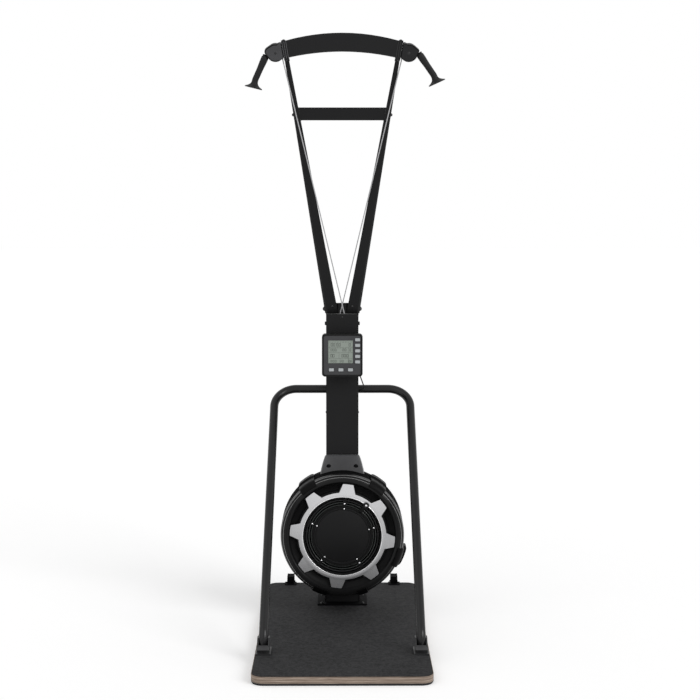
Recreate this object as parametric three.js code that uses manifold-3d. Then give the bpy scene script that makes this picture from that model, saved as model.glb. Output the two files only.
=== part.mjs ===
// Ski trainer machine: a fan on a mast over a standing platform, with two arms that lean over the
// user and carry the pulleys of the two drive cords.
// Millimetres. X points right, seen by the user, Y points from the user to the mast, Z points up.
// The origin is on the floor, under the middle of the whole machine.
import * as THREE from 'three';
import { mergeVertices } from 'three/addons/utils/BufferGeometryUtils.js';
import Module from 'manifold-3d';

const wasm = await Module();
wasm.setup();

// Clearances shared by all pieces
const SEAT_GAP = 0.3;
const RUN_GAP = 0.5;
const CUT_OVERRUN = 4;

// Platform
const DECK_WIDTH = 600;
const DECK_LENGTH = 1230;
const DECK_CORNER = 42;
const UNDERLAY_THICK = 5;
const BOARD_THICK = 25;
const MAT_THICK = 2;
const UNDERLAY_INSET = 3;
const MAT_INSET = 2;

// Transport wheels behind the platform's back edge
const WHEEL_RADIUS = 25;
const WHEEL_WIDTH = 21;
const WHEEL_SPREAD = 420;
const WHEEL_FLOOR_GAP = 3;
const WHEEL_BEHIND_EDGE = 30;
const WHEEL_AXLE_RADIUS = 4;
const WHEEL_AXLE_HEAD_RADIUS = 6;
const WHEEL_AXLE_HEAD_THICK = 3;
const FORK_PLATE_WIDTH = 47;
const FORK_PLATE_LENGTH = 46;
const FORK_THICK = 3;
const FORK_HEIGHT = 30;
const FORK_NOSE = 9;

// Mast
const MAST_WIDTH = 124;
const MAST_DEPTH = 80;
const MAST_WALL = 3;
const MAST_BEHIND_SPACE = 242.5;
const MAST_TOP = 1150;
const FOOT_PLATE_WIDTH = 190;
const FOOT_PLATE_LENGTH = 150;
const FOOT_PLATE_THICK = 6;
const FOOT_CHEEK_HEIGHT = 70;
const FOOT_CHEEK_THICK = 4;
const CROSS_BOLT_RADIUS = 4;
const CROSS_BOLT_HEAD_RADIUS = 7;
const CROSS_BOLT_HEAD_THICK = 5;
const UPPER_BOLT_DROP = 36;

// Support hoop
const HOOP_TUBE_RADIUS = 16;
const HOOP_WALL = 2;
const HOOP_TOP_HALF = 262;
const HOOP_FOOT_HALF = 271;
const HOOP_BAR_HEIGHT = 854;
const HOOP_BEND = 85;
const HOOP_FOOT_FROM_FRONT = 272;
const HOOP_KNEE_HEIGHT = 50;
const HOOP_KNEE_BEND = 60;
const CLAMP_WIDTH = 96;
const CLAMP_WALL = 4;
const CLAMP_EAR = 16;
const HOOP_BRACKET_WIDTH = 52;
const HOOP_BRACKET_LENGTH = 88;
const HOOP_BRACKET_THICK = 5;
const HOOP_CHEEK_HEIGHT = 44;
const HOOP_CHEEK_LENGTH = 52;
const HOOP_LIP_HEIGHT = 17;

// Fan housing
const FAN_RADIUS = 232;
const FAN_CENTRE_HEIGHT = 331;
const FAN_SHELL = 3.5;
const FAN_FRONT_DEPTH = 92;
const FAN_REAR_DEPTH = 82;
const FAN_MAST_GAP = 0.6;
const SHOULDER_RADIUS = 26;
const CREST_WIDTH = 5;
const CHANNEL_DEPTH = 13;
const CHANNEL_STEP = 6;
const CHANNEL_SLOPE = 5;
const RING_SEAT_DROP = 7;
const GRILLE_LAP = 2.5;
const GRILLE_SEAT_DROP = 8;
const GRILLE_LEDGE = 8;
const BACK_CHAMFER = 8;
const CLIP_LENGTH = 48;
const UPPER_CLIP_WIDTH = 70;
const UPPER_CLIP_PROUD = 9;
const SIDE_CLIP_WIDTH = 75;
const SIDE_CLIP_PROUD = 19;
const LOWER_LEFT_CLIP_WIDTH = 59;
const LOWER_RIGHT_CLIP_WIDTH = 38;
const LOWER_CLIP_PROUD = 18;

// Toothed ring round the grille
const TOOTH_TIP_INSET = 35;
const TOOTH_LENGTH = 32.5;
const RING_BAND = 17;
const TOOTH_COUNT = 8;
const TOOTH_ROOT_WIDTH = 61;
const TOOTH_TIP_WIDTH = 39;
const TOOTH_OFFSET_DEG = 6.5;
const RING_THICK = 6;

// Grille, centre disc and damper lever
const GRILLE_THICK = 4;
const GRILLE_RIM = 9;
const GRILLE_WIRE = 3.2;
const GRILLE_PITCH = 8.5;
const GRILLE_WIRES = 3;
const GRILLE_RIBS = 5;
const GRILLE_OFFSET_DEG = 4;
const GRILLE_RIB_WIDTH = 12;
const GRILLE_SPAN = 54;
const DISC_LAP = 10;
const DISC_THICK = 5;
const DISC_EDGE = 2;
const LEVER_RING_PLAY = 1;
const LEVER_RING_WIDTH = 6;
const LEVER_THICK = 3;
const LEVER_ARM_WIDTH = 12;
const LEVER_ARM_INSET = 4;
const KNOB_STEM_RADIUS = 4;
const KNOB_STEM_INSET = 9;
const LEVER_REST_DEG = 38.5;
const KNOB_RADIUS = 11;
const KNOB_LENGTH = 12;
const KNOB_INSET = 2;

// Rotor with its axle, bearings and cord drums
const ROTOR_TIP_GAP = 24;
const ROTOR_DISC_THICK = 5;
const ROTOR_BLADES = 16;
const ROTOR_BLADE_THICK = 3;
const ROTOR_BLADE_LENGTH = 85;
const ROTOR_BLADE_DEPTH = 62;
const ROTOR_HUB_RADIUS = 30;
const ROTOR_HUB_LENGTH = 40;
const ROTOR_REAR_GAP = 12;
const AXLE_RADIUS = 8.5;
const AXLE_REAR_STUB = 6;
const BEARING_RADIUS = 20;
const BEARING_BORE = 9;
const BEARING_THICK = 10;
const DRUM_CORD_RADIUS = 28;
const DRUM_FLANGE_RADIUS = 33;
const DRUM_WIDTH = 14;
const DRUM_FLANGE_THICK = 2.5;
const DRUM_HUB_RADIUS = 16;
const DRUM_HUB_LENGTH = 9;
const DRUM_MIDDLE_GAP = 4;

// Neck cover between mast and fan housing
const NECK_TOP_HALF = 61;
const NECK_FOOT_HALF = 82;
const NECK_FOOT_DROP = 22;
const NECK_CORNER = 16;
const NECK_TOP_RISE = 46;
const NECK_CROWN = 4;
const NECK_REACH = 104;
const NECK_TOP_REACH = 14;
const NECK_WALL = 3;

// Arms, yoke, crossbar and header
const ARM_SETBACK = 27;
const ARM_REACH = 270;
const ARM_FOOT_HALF = 41;
const ARM_HEAD_HALF = 200;
const ARM_FOOT_WIDTH = 50;
const ARM_HEAD_WIDTH = 16;
const ARM_FOOT_DEPTH = 44;
const ARM_HEAD_DEPTH = 24;
const ARM_WALL = 3;
const ARM_CHAMFER_SHARE = 0.16;
const ARM_TOP = 2088;
const YOKE_HEIGHT = 38;
const YOKE_WALL = 3;
const CROSSBAR_HEIGHT = 46;
const CROSSBAR_LEVEL = 1900;
const CROSSBAR_DEPTH = 16;
const CROSSBAR_WALL = 3;
const HEADER_LEVEL_ENDS = 2156;
const HEADER_RISE = 28;
const HEADER_HEIGHT_ENDS = 60;
const HEADER_HEIGHT_MIDDLE = 66.5;
const HEADER_HALF = 190;
const HEADER_THICK = 3;
const HEADER_FLANGE = 12;
const COLLAR_WIDTH = 19;
const COLLAR_FRONT_REACH = 34;
const COLLAR_WALL = 4;

// Head pulleys, their housings and the drive cords
const PULLEY_HALF_SPREAD = 240;
const PULLEY_LEVEL = 2115;
const PULLEY_CORD_RADIUS = 19;
const PULLEY_FLANGE_RADIUS = 21.5;
const PULLEY_WIDTH = 15;
const PULLEY_BORE = 4.6;
const PULLEY_PIN_RADIUS = 4;
const HOUSING_HALF_DEPTH = 15;
const HOUSING_WALL = 3;
const HOUSING_CAVITY = 23;
const HOUSING_RADIUS = 32;
const HOUSING_TOP_RISE = 35;
const HOUSING_ROOT_DROP = 20;
const HOUSING_NOSE_REACH = 39.5;
const HOUSING_NOSE_RISE = 5;
const HOUSING_NOSE_TOP = 16;
const HOUSING_NOSE_TOP_REACH = 33;
const HOUSING_NOSE_FOOT = 4;
const HOUSING_NOSE_FOOT_REACH = 36.5;
const HOUSING_TOP_INSET = 14;
const HOUSING_LEFT_TURN_DEG = 0;
const HOUSING_RIGHT_TURN_DEG = 12.5;
const HOUSING_UNDER_FROM_DEG = -140;
const HOUSING_UNDER_TO_DEG = -35;
const HOUSING_OVER_FROM_DEG = 62;
const HOUSING_OVER_TO_DEG = 100;
const HOUSING_SLOT_RADIUS = 4.5;
const HOUSING_SLOT_LENGTH = 60;
const HOUSING_SCREW_RADIUS = 5;
const HOUSING_SCREW_THICK = 1.5;
const CORD_RADIUS = 2;
const CORD_HOLE_HALF = 8;
const CORD_HOLE_RADIUS = 4;
const CORD_CROSS_GAP = 8;
const CORD_LEDGE = 15;

// Handles
const HANDLE_LENGTH = 122;
const HANDLE_TOP_RADIUS = 12.5;
const HANDLE_WAIST_RADIUS = 10;
const HANDLE_FLARE_RADIUS = 32;
const HANDLE_FLARE_LENGTH = 26;
const HANDLE_BELL_RADIUS = 20;
const HANDLE_BELL_RISE = 5.5;
const HANDLE_NECK_RADIUS = 12;
const HANDLE_NECK_RISE = 12;
const HANDLE_RIM = 3;
const HANDLE_EDGE = 3;
const HANDLE_SHOULDER = 14;
const HANDLE_WAIST_AT = 55;
const HANDLE_DISH = 6;
const HANDLE_LEFT_LEAN_DEG = 24.5;
const HANDLE_RIGHT_LEAN_DEG = 35;
const HANDLE_BEND_DEG = 10.5;
const HANDLE_BEND_AT = 90;
const HANDLE_BACK_DEG = 4;
const TAIL_LENGTH = 34.4;
const TAIL_LEAN_DEG = 39;

// Return cord in the mast
const RETURN_CORD_RADIUS = 3;

// Monitor
const MONITOR_WIDTH = 154;
const MONITOR_HEIGHT = 162;
const MONITOR_LEVEL = 1001;
const MONITOR_CORNER = 12;
const MONITOR_FRONT_DEPTH = 18;
const MONITOR_REAR_DEPTH = 14;
const MONITOR_WALL = 3;
const MONITOR_STANDOFF = 40;
const SCREEN_LEFT = 54;
const SCREEN_RIGHT = 41;
const SCREEN_TOP = 57;
const SCREEN_BOTTOM = 31;
const SCREEN_THICK = 2;
const BUTTON_WIDTH = 20;
const BUTTON_HEIGHT = 12;
const BUTTON_CORNER = 3;
const BUTTON_LENGTH = 7;
const BUTTON_PROUD = 2;
const SIDE_BUTTONS = 5;
const SIDE_BUTTON_X = 58;
const SIDE_BUTTON_TOP = 59;
const SIDE_BUTTON_PITCH = 21;
const FOOT_BUTTONS = 3;
const FOOT_BUTTON_LEFT = 41;
const FOOT_BUTTON_PITCH = 36;
const FOOT_BUTTON_DROP = 55;
const MONITOR_PIN_RADIUS = 4;
const MONITOR_PIN_HEAD_RADIUS = 6;
const MONITOR_PIN_HEAD_THICK = 3;
const MONITOR_PIVOT_REACH = 13;
const MONITOR_EAR_THICK = 4;
const MONITOR_EAR_HALF = 9;
const MONITOR_BRACKET_HALF = 17;
const MONITOR_PLATE_TOP = 1015;
const MONITOR_PLATE_FOOT = 890;
const BUTTON_FLANGE = 2;
const BUTTON_FLANGE_THICK = 1.5;
const SENSOR_CABLE_RADIUS = 1.6;
const SENSOR_CABLE_EXIT_HALF = 68;
const SENSOR_CABLE_OUT_HALF = 84;
const SENSOR_CABLE_EXIT_DEPTH = 20;
const SENSOR_CABLE_SAG = 22;
const SENSOR_CABLE_DROP = 62;
const SENSOR_CABLE_ENTRY_DROP = 88;
const SENSOR_CABLE_ENTRY_DEPTH = 50;

// Steps round a full circle
const FINE_SIDES = 40;
const MID_SIDES = 32;
const ROD_SIDES = 20;
const HOOP_SIDES = 12;
const CORD_SIDES = 8;
const CORNER_STEPS = 3;

// Places worked out from the sizes above
const BOARD_LEVEL = UNDERLAY_THICK;
const MAT_LEVEL = BOARD_LEVEL + BOARD_THICK;
const DECK_TOP = MAT_LEVEL + MAT_THICK;
const TOTAL_LENGTH = DECK_LENGTH + WHEEL_BEHIND_EDGE + WHEEL_RADIUS;
const DECK_FRONT_Y = -TOTAL_LENGTH / 2;
const DECK_BACK_Y = DECK_FRONT_Y + DECK_LENGTH;
const DECK_CENTRE_Y = (DECK_FRONT_Y + DECK_BACK_Y) / 2;
const MAST_BACK_Y = DECK_BACK_Y - MAST_BEHIND_SPACE;
const MAST_FRONT_Y = MAST_BACK_Y - MAST_DEPTH;
const MAST_CENTRE_Y = (MAST_FRONT_Y + MAST_BACK_Y) / 2;
const FOOT_PLATE_TOP = DECK_TOP + FOOT_PLATE_THICK;
const FAN_BACK_Y = MAST_FRONT_Y - FAN_MAST_GAP;
const FAN_SPLIT_Y = FAN_BACK_Y - FAN_REAR_DEPTH;
const FAN_FRONT_Y = FAN_SPLIT_Y - FAN_FRONT_DEPTH;
const TOOTH_TIP = FAN_RADIUS - TOOTH_TIP_INSET;
const RING_OUTER = TOOTH_TIP - TOOTH_LENGTH;
const RING_INNER = RING_OUTER - RING_BAND;
const CHANNEL_INNER = RING_OUTER + CHANNEL_STEP;
const GRILLE_RADIUS = RING_INNER + GRILLE_LAP;
const GRILLE_HUB = GRILLE_RADIUS - GRILLE_SPAN;
const DISC_RADIUS = GRILLE_HUB + DISC_LAP;
const LEVER_RING_INNER = DISC_RADIUS + LEVER_RING_PLAY;
const LEVER_ARM_END = RING_INNER - LEVER_ARM_INSET;
const KNOB_STEM_CENTRE = RING_INNER - KNOB_STEM_INSET;
const KNOB_CENTRE = RING_INNER - KNOB_INSET;
const ROTOR_RADIUS = FAN_RADIUS - ROTOR_TIP_GAP;
const ROTOR_BLADE_INNER = ROTOR_RADIUS - ROTOR_BLADE_LENGTH;
const RING_SEAT_Y = FAN_FRONT_Y + RING_SEAT_DROP;
const RING_FRONT_Y = RING_SEAT_Y - RING_THICK;
const GRILLE_SEAT_Y = RING_SEAT_Y + GRILLE_SEAT_DROP;
const GRILLE_FRONT_Y = GRILLE_SEAT_Y - GRILLE_THICK;

const black = (roughness) => new THREE.MeshStandardMaterial({ color: 0x1d1d1f, roughness, metalness: 0.1 });
const powderCoat = black(0.55);
const satinTube = black(0.35);
const blackPlastic = black(0.6);
const rubber = black(0.9);
const darkGrey = new THREE.MeshStandardMaterial({ color: 0x4a4a4c, roughness: 0.6 });
const neckGrey = new THREE.MeshStandardMaterial({ color: 0x59595c, roughness: 0.45 });
const silver = new THREE.MeshStandardMaterial({ color: 0xc9c9cd, roughness: 0.4, metalness: 0.4 });
const steel = new THREE.MeshStandardMaterial({ color: 0xa5a6a8, roughness: 0.35, metalness: 0.9 });
const aluminium = new THREE.MeshStandardMaterial({ color: 0xb8babc, roughness: 0.4, metalness: 0.8 });
const plywood = new THREE.MeshStandardMaterial({ color: 0xa89484, roughness: 0.7 });
const matBlack = new THREE.MeshStandardMaterial({ color: 0x3c3c3c, roughness: 0.9 });
const cordGrey = new THREE.MeshStandardMaterial({ color: 0xbdbdbd, roughness: 0.7 });
const screenGrey = new THREE.MeshStandardMaterial({ color: 0x869086, roughness: 0.25 });
const buttonGrey = new THREE.MeshStandardMaterial({ color: 0xc4c6c8, roughness: 0.6 });

const machine = new THREE.Group();

function place(name, geometry, material, parent = machine) {
  const mesh = new THREE.Mesh(geometry, material);
  mesh.name = name;
  parent.add(mesh);
  return mesh;
}

function solidOf(geometry) {
  const bare = geometry.clone();
  bare.deleteAttribute('normal');
  bare.deleteAttribute('uv');
  const merged = mergeVertices(bare, 1e-4);
  const vertProperties = new Float32Array(merged.attributes.position.array);
  const triVerts = new Uint32Array(merged.index.array);
  return new wasm.Manifold(new wasm.Mesh({ numProp: 3, vertProperties, triVerts }));
}

function geometryOf(solid) {
  const mesh = solid.getMesh();
  const geometry = new THREE.BufferGeometry();
  geometry.setAttribute('position', new THREE.BufferAttribute(mesh.vertProperties, mesh.numProp));
  geometry.setIndex(new THREE.BufferAttribute(mesh.triVerts, 1));
  return geometry;
}

function joined(...geometries) {
  return geometryOf(geometries.map(solidOf).reduce((sum, next) => sum.add(next)));
}

function cut(geometry, ...tools) {
  return geometryOf(tools.map(solidOf).reduce((rest, tool) => rest.subtract(tool), solidOf(geometry)));
}

function box(xs, ys, zs) {
  const geometry = new THREE.BoxGeometry(xs[1] - xs[0], ys[1] - ys[0], zs[1] - zs[0]);
  return geometry.translate((xs[0] + xs[1]) / 2, (ys[0] + ys[1]) / 2, (zs[0] + zs[1]) / 2);
}

// A round bar between two points
function rod(from, to, radius, sides = ROD_SIDES) {
  const along = new THREE.Vector3().subVectors(to, from);
  const geometry = new THREE.CylinderGeometry(radius, radius, along.length(), sides);
  const upward = new THREE.Vector3(0, 1, 0);
  const turn = new THREE.Quaternion().setFromUnitVectors(upward, along.clone().normalize());
  geometry.applyQuaternion(turn);
  const middle = new THREE.Vector3().addVectors(from, to).multiplyScalar(0.5);
  return geometry.translate(middle.x, middle.y, middle.z);
}

const point = (x, y, z) => new THREE.Vector3(x, y, z);

// A disc or ring about the Y axis through x, z, from a closed outline of [radius, y] pairs
function turnedAboutY(outline, x, z, sides = FINE_SIDES) {
  const profile = outline.map(([radius, y]) => new THREE.Vector2(radius, y));
  const geometry = new THREE.LatheGeometry(profile, sides);
  return solidFacingOut(geometry).translate(x, 0, z);
}

// A lathe outline may run either way round, so the faces are turned outwards here
function solidFacingOut(geometry) {
  const position = geometry.attributes.position;
  const index = geometry.index;
  const a = new THREE.Vector3();
  const b = new THREE.Vector3();
  const c = new THREE.Vector3();
  let volume = 0;
  for (let i = 0; i < index.count; i += 3) {
    a.fromBufferAttribute(position, index.getX(i));
    b.fromBufferAttribute(position, index.getX(i + 1));
    c.fromBufferAttribute(position, index.getX(i + 2));
    volume += a.dot(b.cross(c));
  }
  if (volume < 0) {
    for (let i = 0; i < index.count; i += 3) {
      const kept = index.getX(i);
      index.setX(i, index.getX(i + 1));
      index.setX(i + 1, kept);
    }
  }
  return geometry;
}

const ring = (inner, outer, near, far) => [
  [inner, near],
  [outer, near],
  [outer, far],
  [inner, far],
  [inner, near],
];

function roundedRectangle(width, height, corner) {
  const shape = new THREE.Shape();
  const x = width / 2;
  const y = height / 2;
  shape.moveTo(-x + corner, -y);
  shape.lineTo(x - corner, -y);
  shape.absarc(x - corner, -y + corner, corner, -Math.PI / 2, 0);
  shape.lineTo(x, y - corner);
  shape.absarc(x - corner, y - corner, corner, 0, Math.PI / 2);
  shape.lineTo(-x + corner, y);
  shape.absarc(-x + corner, y - corner, corner, Math.PI / 2, Math.PI);
  shape.lineTo(-x, -y + corner);
  shape.absarc(-x + corner, -y + corner, corner, Math.PI, Math.PI * 1.5);
  return shape;
}

function shapeOf(pairs) {
  return new THREE.Shape(pairs.map(([x, y]) => new THREE.Vector2(x, y)));
}

// A flat outline in X and Y, raised from one level to another
function raised(shape, low, high) {
  const options = { depth: high - low, bevelEnabled: false, curveSegments: CORNER_STEPS };
  return new THREE.ExtrudeGeometry(shape, options).translate(0, 0, low);
}

// A flat outline in X and Z, with its thickness along Y
function upright(shape, near, far, curveSegments = CORNER_STEPS) {
  const options = { depth: far - near, bevelEnabled: false, curveSegments };
  return new THREE.ExtrudeGeometry(shape, options).rotateX(Math.PI / 2).translate(0, far, 0);
}

// A flat outline in Y and Z, with its thickness along X
function sideways(shape, low, high, curveSegments = CORNER_STEPS) {
  const options = { depth: high - low, bevelEnabled: false, curveSegments };
  const standing = new THREE.ExtrudeGeometry(shape, options).rotateX(Math.PI / 2);
  return standing.rotateZ(Math.PI / 2).translate(low, 0, 0);
}

// A path through chosen stations, each of which gets one ring of the tube
class StationPath extends THREE.Curve {
  constructor(stations) {
    super();
    this.stations = stations;
  }

  getPoint(t, target = new THREE.Vector3()) {
    const last = this.stations.length - 1;
    const at = Math.min(Math.max(t, 0), 1) * last;
    const low = Math.min(Math.floor(at), last - 1);
    return target.lerpVectors(this.stations[low], this.stations[low + 1], at - low);
  }

  getUtoTmapping(u) {
    return u;
  }
}

// Stations of a line that turns its corners on round bends
function bent(corners, bends, steps) {
  const stations = [corners[0]];
  for (let i = 1; i < corners.length - 1; i += 1) {
    const before = new THREE.Vector3().subVectors(corners[i - 1], corners[i]).normalize();
    const after = new THREE.Vector3().subVectors(corners[i + 1], corners[i]).normalize();
    const half = before.angleTo(after) / 2;
    const reach = bends[i - 1] / Math.tan(half);
    const middle = new THREE.Vector3().addVectors(before, after).normalize();
    const centre = corners[i].clone().addScaledVector(middle, bends[i - 1] / Math.sin(half));
    const start = corners[i].clone().addScaledVector(before, reach).sub(centre);
    const end = corners[i].clone().addScaledVector(after, reach).sub(centre);
    const sweep = start.angleTo(end);
    for (let k = 0; k <= steps; k += 1) {
      const share = k / steps;
      const spoke = start.clone().multiplyScalar(Math.sin((1 - share) * sweep) / Math.sin(sweep));
      spoke.addScaledVector(end, Math.sin(share * sweep) / Math.sin(sweep));
      stations.push(spoke.add(centre));
    }
  }
  stations.push(corners[corners.length - 1]);
  return stations;
}

function tube(stations, radius, sides, bore = 0) {
  const section = new THREE.Shape().absarc(0, 0, radius, 0, Math.PI * 2);
  if (bore > 0) section.holes.push(new THREE.Path().absarc(0, 0, bore, 0, Math.PI * 2));
  const options = { steps: stations.length - 1, curveSegments: sides / 2, bevelEnabled: false };
  options.extrudePath = new StationPath(stations);
  return new THREE.ExtrudeGeometry(section, options);
}

// A straight-sided skin between two level outlines that have the same number of corners
function lofted(low, high) {
  const flat = low.map((corner) => new THREE.Vector2(corner.x, corner.y));
  if (THREE.ShapeUtils.isClockWise(flat)) return lofted([...low].reverse(), [...high].reverse());
  const count = low.length;
  const positions = [...low, ...high].flatMap((corner) => [corner.x, corner.y, corner.z]);
  const index = [];
  for (const [a, b, c] of THREE.ShapeUtils.triangulateShape(flat, [])) {
    index.push(c, b, a, a + count, b + count, c + count);
  }
  for (let i = 0; i < count; i += 1) {
    const j = (i + 1) % count;
    index.push(i, j, j + count, i, j + count, i + count);
  }
  const geometry = new THREE.BufferGeometry();
  geometry.setAttribute('position', new THREE.Float32BufferAttribute(positions, 3));
  geometry.setIndex(index);
  return geometry;
}

// Platform: rubber underlay, plywood board and anti-slip mat
function deckLayer(inset, low, thick) {
  const corner = DECK_CORNER - inset;
  const shape = roundedRectangle(DECK_WIDTH - 2 * inset, DECK_LENGTH - 2 * inset, corner);
  return raised(shape, low, low + thick).translate(0, DECK_CENTRE_Y, 0);
}

place('rubber_underlay', deckLayer(UNDERLAY_INSET, 0, UNDERLAY_THICK), rubber);
place('platform_board', deckLayer(0, BOARD_LEVEL, BOARD_THICK), plywood);
place('platform_mat', deckLayer(MAT_INSET, MAT_LEVEL, MAT_THICK), matBlack);

const sides = [
  { name: 'left', sign: -1 },
  { name: 'right', sign: 1 },
];

// Transport wheels: they meet the floor when the machine is tipped back
const WHEEL_AXLE_Y = DECK_BACK_Y + WHEEL_BEHIND_EDGE;
const WHEEL_AXLE_LEVEL = WHEEL_FLOOR_GAP + WHEEL_RADIUS;
const FORK_INNER = WHEEL_WIDTH / 2 + RUN_GAP;
const FORK_OUTER = FORK_INNER + FORK_THICK;

function wheelFork(x) {
  const plateTop = DECK_TOP + FORK_THICK;
  const plateFront = DECK_BACK_Y - FORK_PLATE_LENGTH;
  const plateX = [x - FORK_PLATE_WIDTH / 2, x + FORK_PLATE_WIDTH / 2];
  const plate = box(plateX, [plateFront, DECK_BACK_Y], [DECK_TOP, plateTop]);
  const cheek = shapeOf([
    [plateFront + FORK_NOSE, DECK_TOP],
    [plateFront + 2 * FORK_NOSE, DECK_TOP + FORK_HEIGHT],
    [WHEEL_AXLE_Y, DECK_TOP + FORK_HEIGHT],
    [WHEEL_AXLE_Y + FORK_NOSE, WHEEL_AXLE_LEVEL + FORK_NOSE],
    [WHEEL_AXLE_Y + FORK_NOSE, WHEEL_AXLE_LEVEL],
    [WHEEL_AXLE_Y, WHEEL_AXLE_LEVEL - FORK_NOSE],
    [WHEEL_AXLE_Y - FORK_NOSE, WHEEL_AXLE_LEVEL],
    [WHEEL_AXLE_Y - FORK_NOSE, DECK_TOP],
  ]);
  const near = sideways(cheek, x - FORK_OUTER, x - FORK_INNER);
  const far = sideways(cheek, x + FORK_INNER, x + FORK_OUTER);
  const at = (across) => point(x + across, WHEEL_AXLE_Y, WHEEL_AXLE_LEVEL);
  const end = FORK_OUTER + WHEEL_AXLE_HEAD_THICK;
  return joined(
    plate,
    near,
    far,
    rod(at(-end), at(end), WHEEL_AXLE_RADIUS),
    rod(at(-end), at(-FORK_INNER), WHEEL_AXLE_HEAD_RADIUS),
    rod(at(FORK_INNER), at(end), WHEEL_AXLE_HEAD_RADIUS),
  );
}

function wheel(x) {
  const at = (across) => point(x + across, WHEEL_AXLE_Y, WHEEL_AXLE_LEVEL);
  const half = WHEEL_WIDTH / 2;
  const tyre = rod(at(-half), at(half), WHEEL_RADIUS, MID_SIDES);
  return cut(tyre, rod(at(-half - CUT_OVERRUN), at(half + CUT_OVERRUN), WHEEL_AXLE_RADIUS + RUN_GAP));
}

for (const { name, sign } of sides) {
  const x = (sign * WHEEL_SPREAD) / 2;
  place(`wheel_bracket_${name}`, wheelFork(x), powderCoat);
  place(`transport_wheel_${name}`, wheel(x), rubber);
}

// Mast: a folded channel, its back cover, the foot bracket on the deck and the cap under the arms
const MAST_HALF = MAST_WIDTH / 2;
const MAST_FOOT = FOOT_PLATE_TOP + SEAT_GAP;
const UPPER_BOLT_LEVEL = MAST_TOP - UPPER_BOLT_DROP;
const YOKE_LEVEL = MAST_TOP + YOKE_WALL;
const fanAxis = (y) => point(0, y, FAN_CENTRE_HEIGHT);

function crossHole(level, y) {
  const reach = MAST_HALF + CUT_OVERRUN;
  const at = (x) => point(x, y, level);
  return rod(at(-reach), at(reach), CROSS_BOLT_RADIUS + SEAT_GAP);
}

function mastChannel() {
  const inner = MAST_HALF - MAST_WALL;
  const section = shapeOf([
    [-MAST_HALF, MAST_FRONT_Y],
    [MAST_HALF, MAST_FRONT_Y],
    [MAST_HALF, MAST_BACK_Y],
    [inner, MAST_BACK_Y],
    [inner, MAST_FRONT_Y + MAST_WALL],
    [-inner, MAST_FRONT_Y + MAST_WALL],
    [-inner, MAST_BACK_Y],
    [-MAST_HALF, MAST_BACK_Y],
  ]);
  const bearingSeat = rod(
    fanAxis(MAST_FRONT_Y - CUT_OVERRUN),
    fanAxis(MAST_FRONT_Y + MAST_WALL + CUT_OVERRUN),
    BEARING_RADIUS + SEAT_GAP,
    MID_SIDES,
  );
  const body = raised(section, MAST_FOOT, MAST_TOP);
  return cut(body, bearingSeat, crossHole(UPPER_BOLT_LEVEL, MAST_CENTRE_Y));
}

function mastBackCover() {
  const half = MAST_HALF - MAST_WALL - SEAT_GAP;
  const cover = box([-half, half], [MAST_BACK_Y - MAST_WALL, MAST_BACK_Y], [MAST_FOOT, MAST_TOP]);
  const seat = rod(
    fanAxis(MAST_BACK_Y - MAST_WALL - CUT_OVERRUN),
    fanAxis(MAST_BACK_Y + CUT_OVERRUN),
    BEARING_RADIUS + SEAT_GAP,
    MID_SIDES,
  );
  return cut(cover, seat);
}

function crossBolt(level, y) {
  const at = (x) => point(x, y, level);
  const inner = MAST_HALF + SEAT_GAP;
  const outer = inner + CROSS_BOLT_HEAD_THICK;
  return joined(
    rod(at(-outer), at(outer), CROSS_BOLT_RADIUS),
    rod(at(-outer), at(-inner), CROSS_BOLT_HEAD_RADIUS),
    rod(at(inner), at(outer), CROSS_BOLT_HEAD_RADIUS),
  );
}

function mastFootBracket() {
  const halfWidth = FOOT_PLATE_WIDTH / 2;
  const halfLength = FOOT_PLATE_LENGTH / 2;
  const plateY = [MAST_CENTRE_Y - halfLength, MAST_CENTRE_Y + halfLength];
  const plate = box([-halfWidth, halfWidth], plateY, [DECK_TOP, FOOT_PLATE_TOP]);
  const inner = MAST_HALF + SEAT_GAP;
  const outer = inner + FOOT_CHEEK_THICK;
  const cheekZ = [DECK_TOP, FOOT_PLATE_TOP + FOOT_CHEEK_HEIGHT];
  const cheekY = [MAST_FRONT_Y, MAST_BACK_Y];
  return joined(plate, box([-outer, -inner], cheekY, cheekZ), box([inner, outer], cheekY, cheekZ));
}

place('mast_channel', mastChannel(), powderCoat);
place('mast_back_cover', mastBackCover(), powderCoat);
place('mast_foot_bracket', mastFootBracket(), powderCoat);
place('return_cord_pin', crossBolt(UPPER_BOLT_LEVEL, MAST_CENTRE_Y), steel);

// Support hoop: one bent tube from foot to foot, behind the mast at the top
const HOOP_BAR_Y = MAST_BACK_Y + SEAT_GAP + HOOP_TUBE_RADIUS;
const HOOP_FOOT_Y = DECK_FRONT_Y + HOOP_FOOT_FROM_FRONT;
const HOOP_BRACKET_TOP = DECK_TOP + HOOP_BRACKET_THICK;

function supportHoop() {
  const leg = (sign) => [
    point(sign * HOOP_FOOT_HALF, HOOP_FOOT_Y, HOOP_BRACKET_TOP + SEAT_GAP),
    point(sign * HOOP_FOOT_HALF, HOOP_FOOT_Y, HOOP_BRACKET_TOP + HOOP_KNEE_HEIGHT),
    point(sign * HOOP_TOP_HALF, HOOP_BAR_Y, HOOP_BAR_HEIGHT),
  ];
  const corners = [...leg(-1), ...leg(1).reverse()];
  const bends = [HOOP_KNEE_BEND, HOOP_BEND, HOOP_BEND, HOOP_KNEE_BEND];
  const stations = bent(corners, bends, CORNER_STEPS * 2);
  return tube(stations, HOOP_TUBE_RADIUS, HOOP_SIDES, HOOP_TUBE_RADIUS - HOOP_WALL);
}

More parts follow.
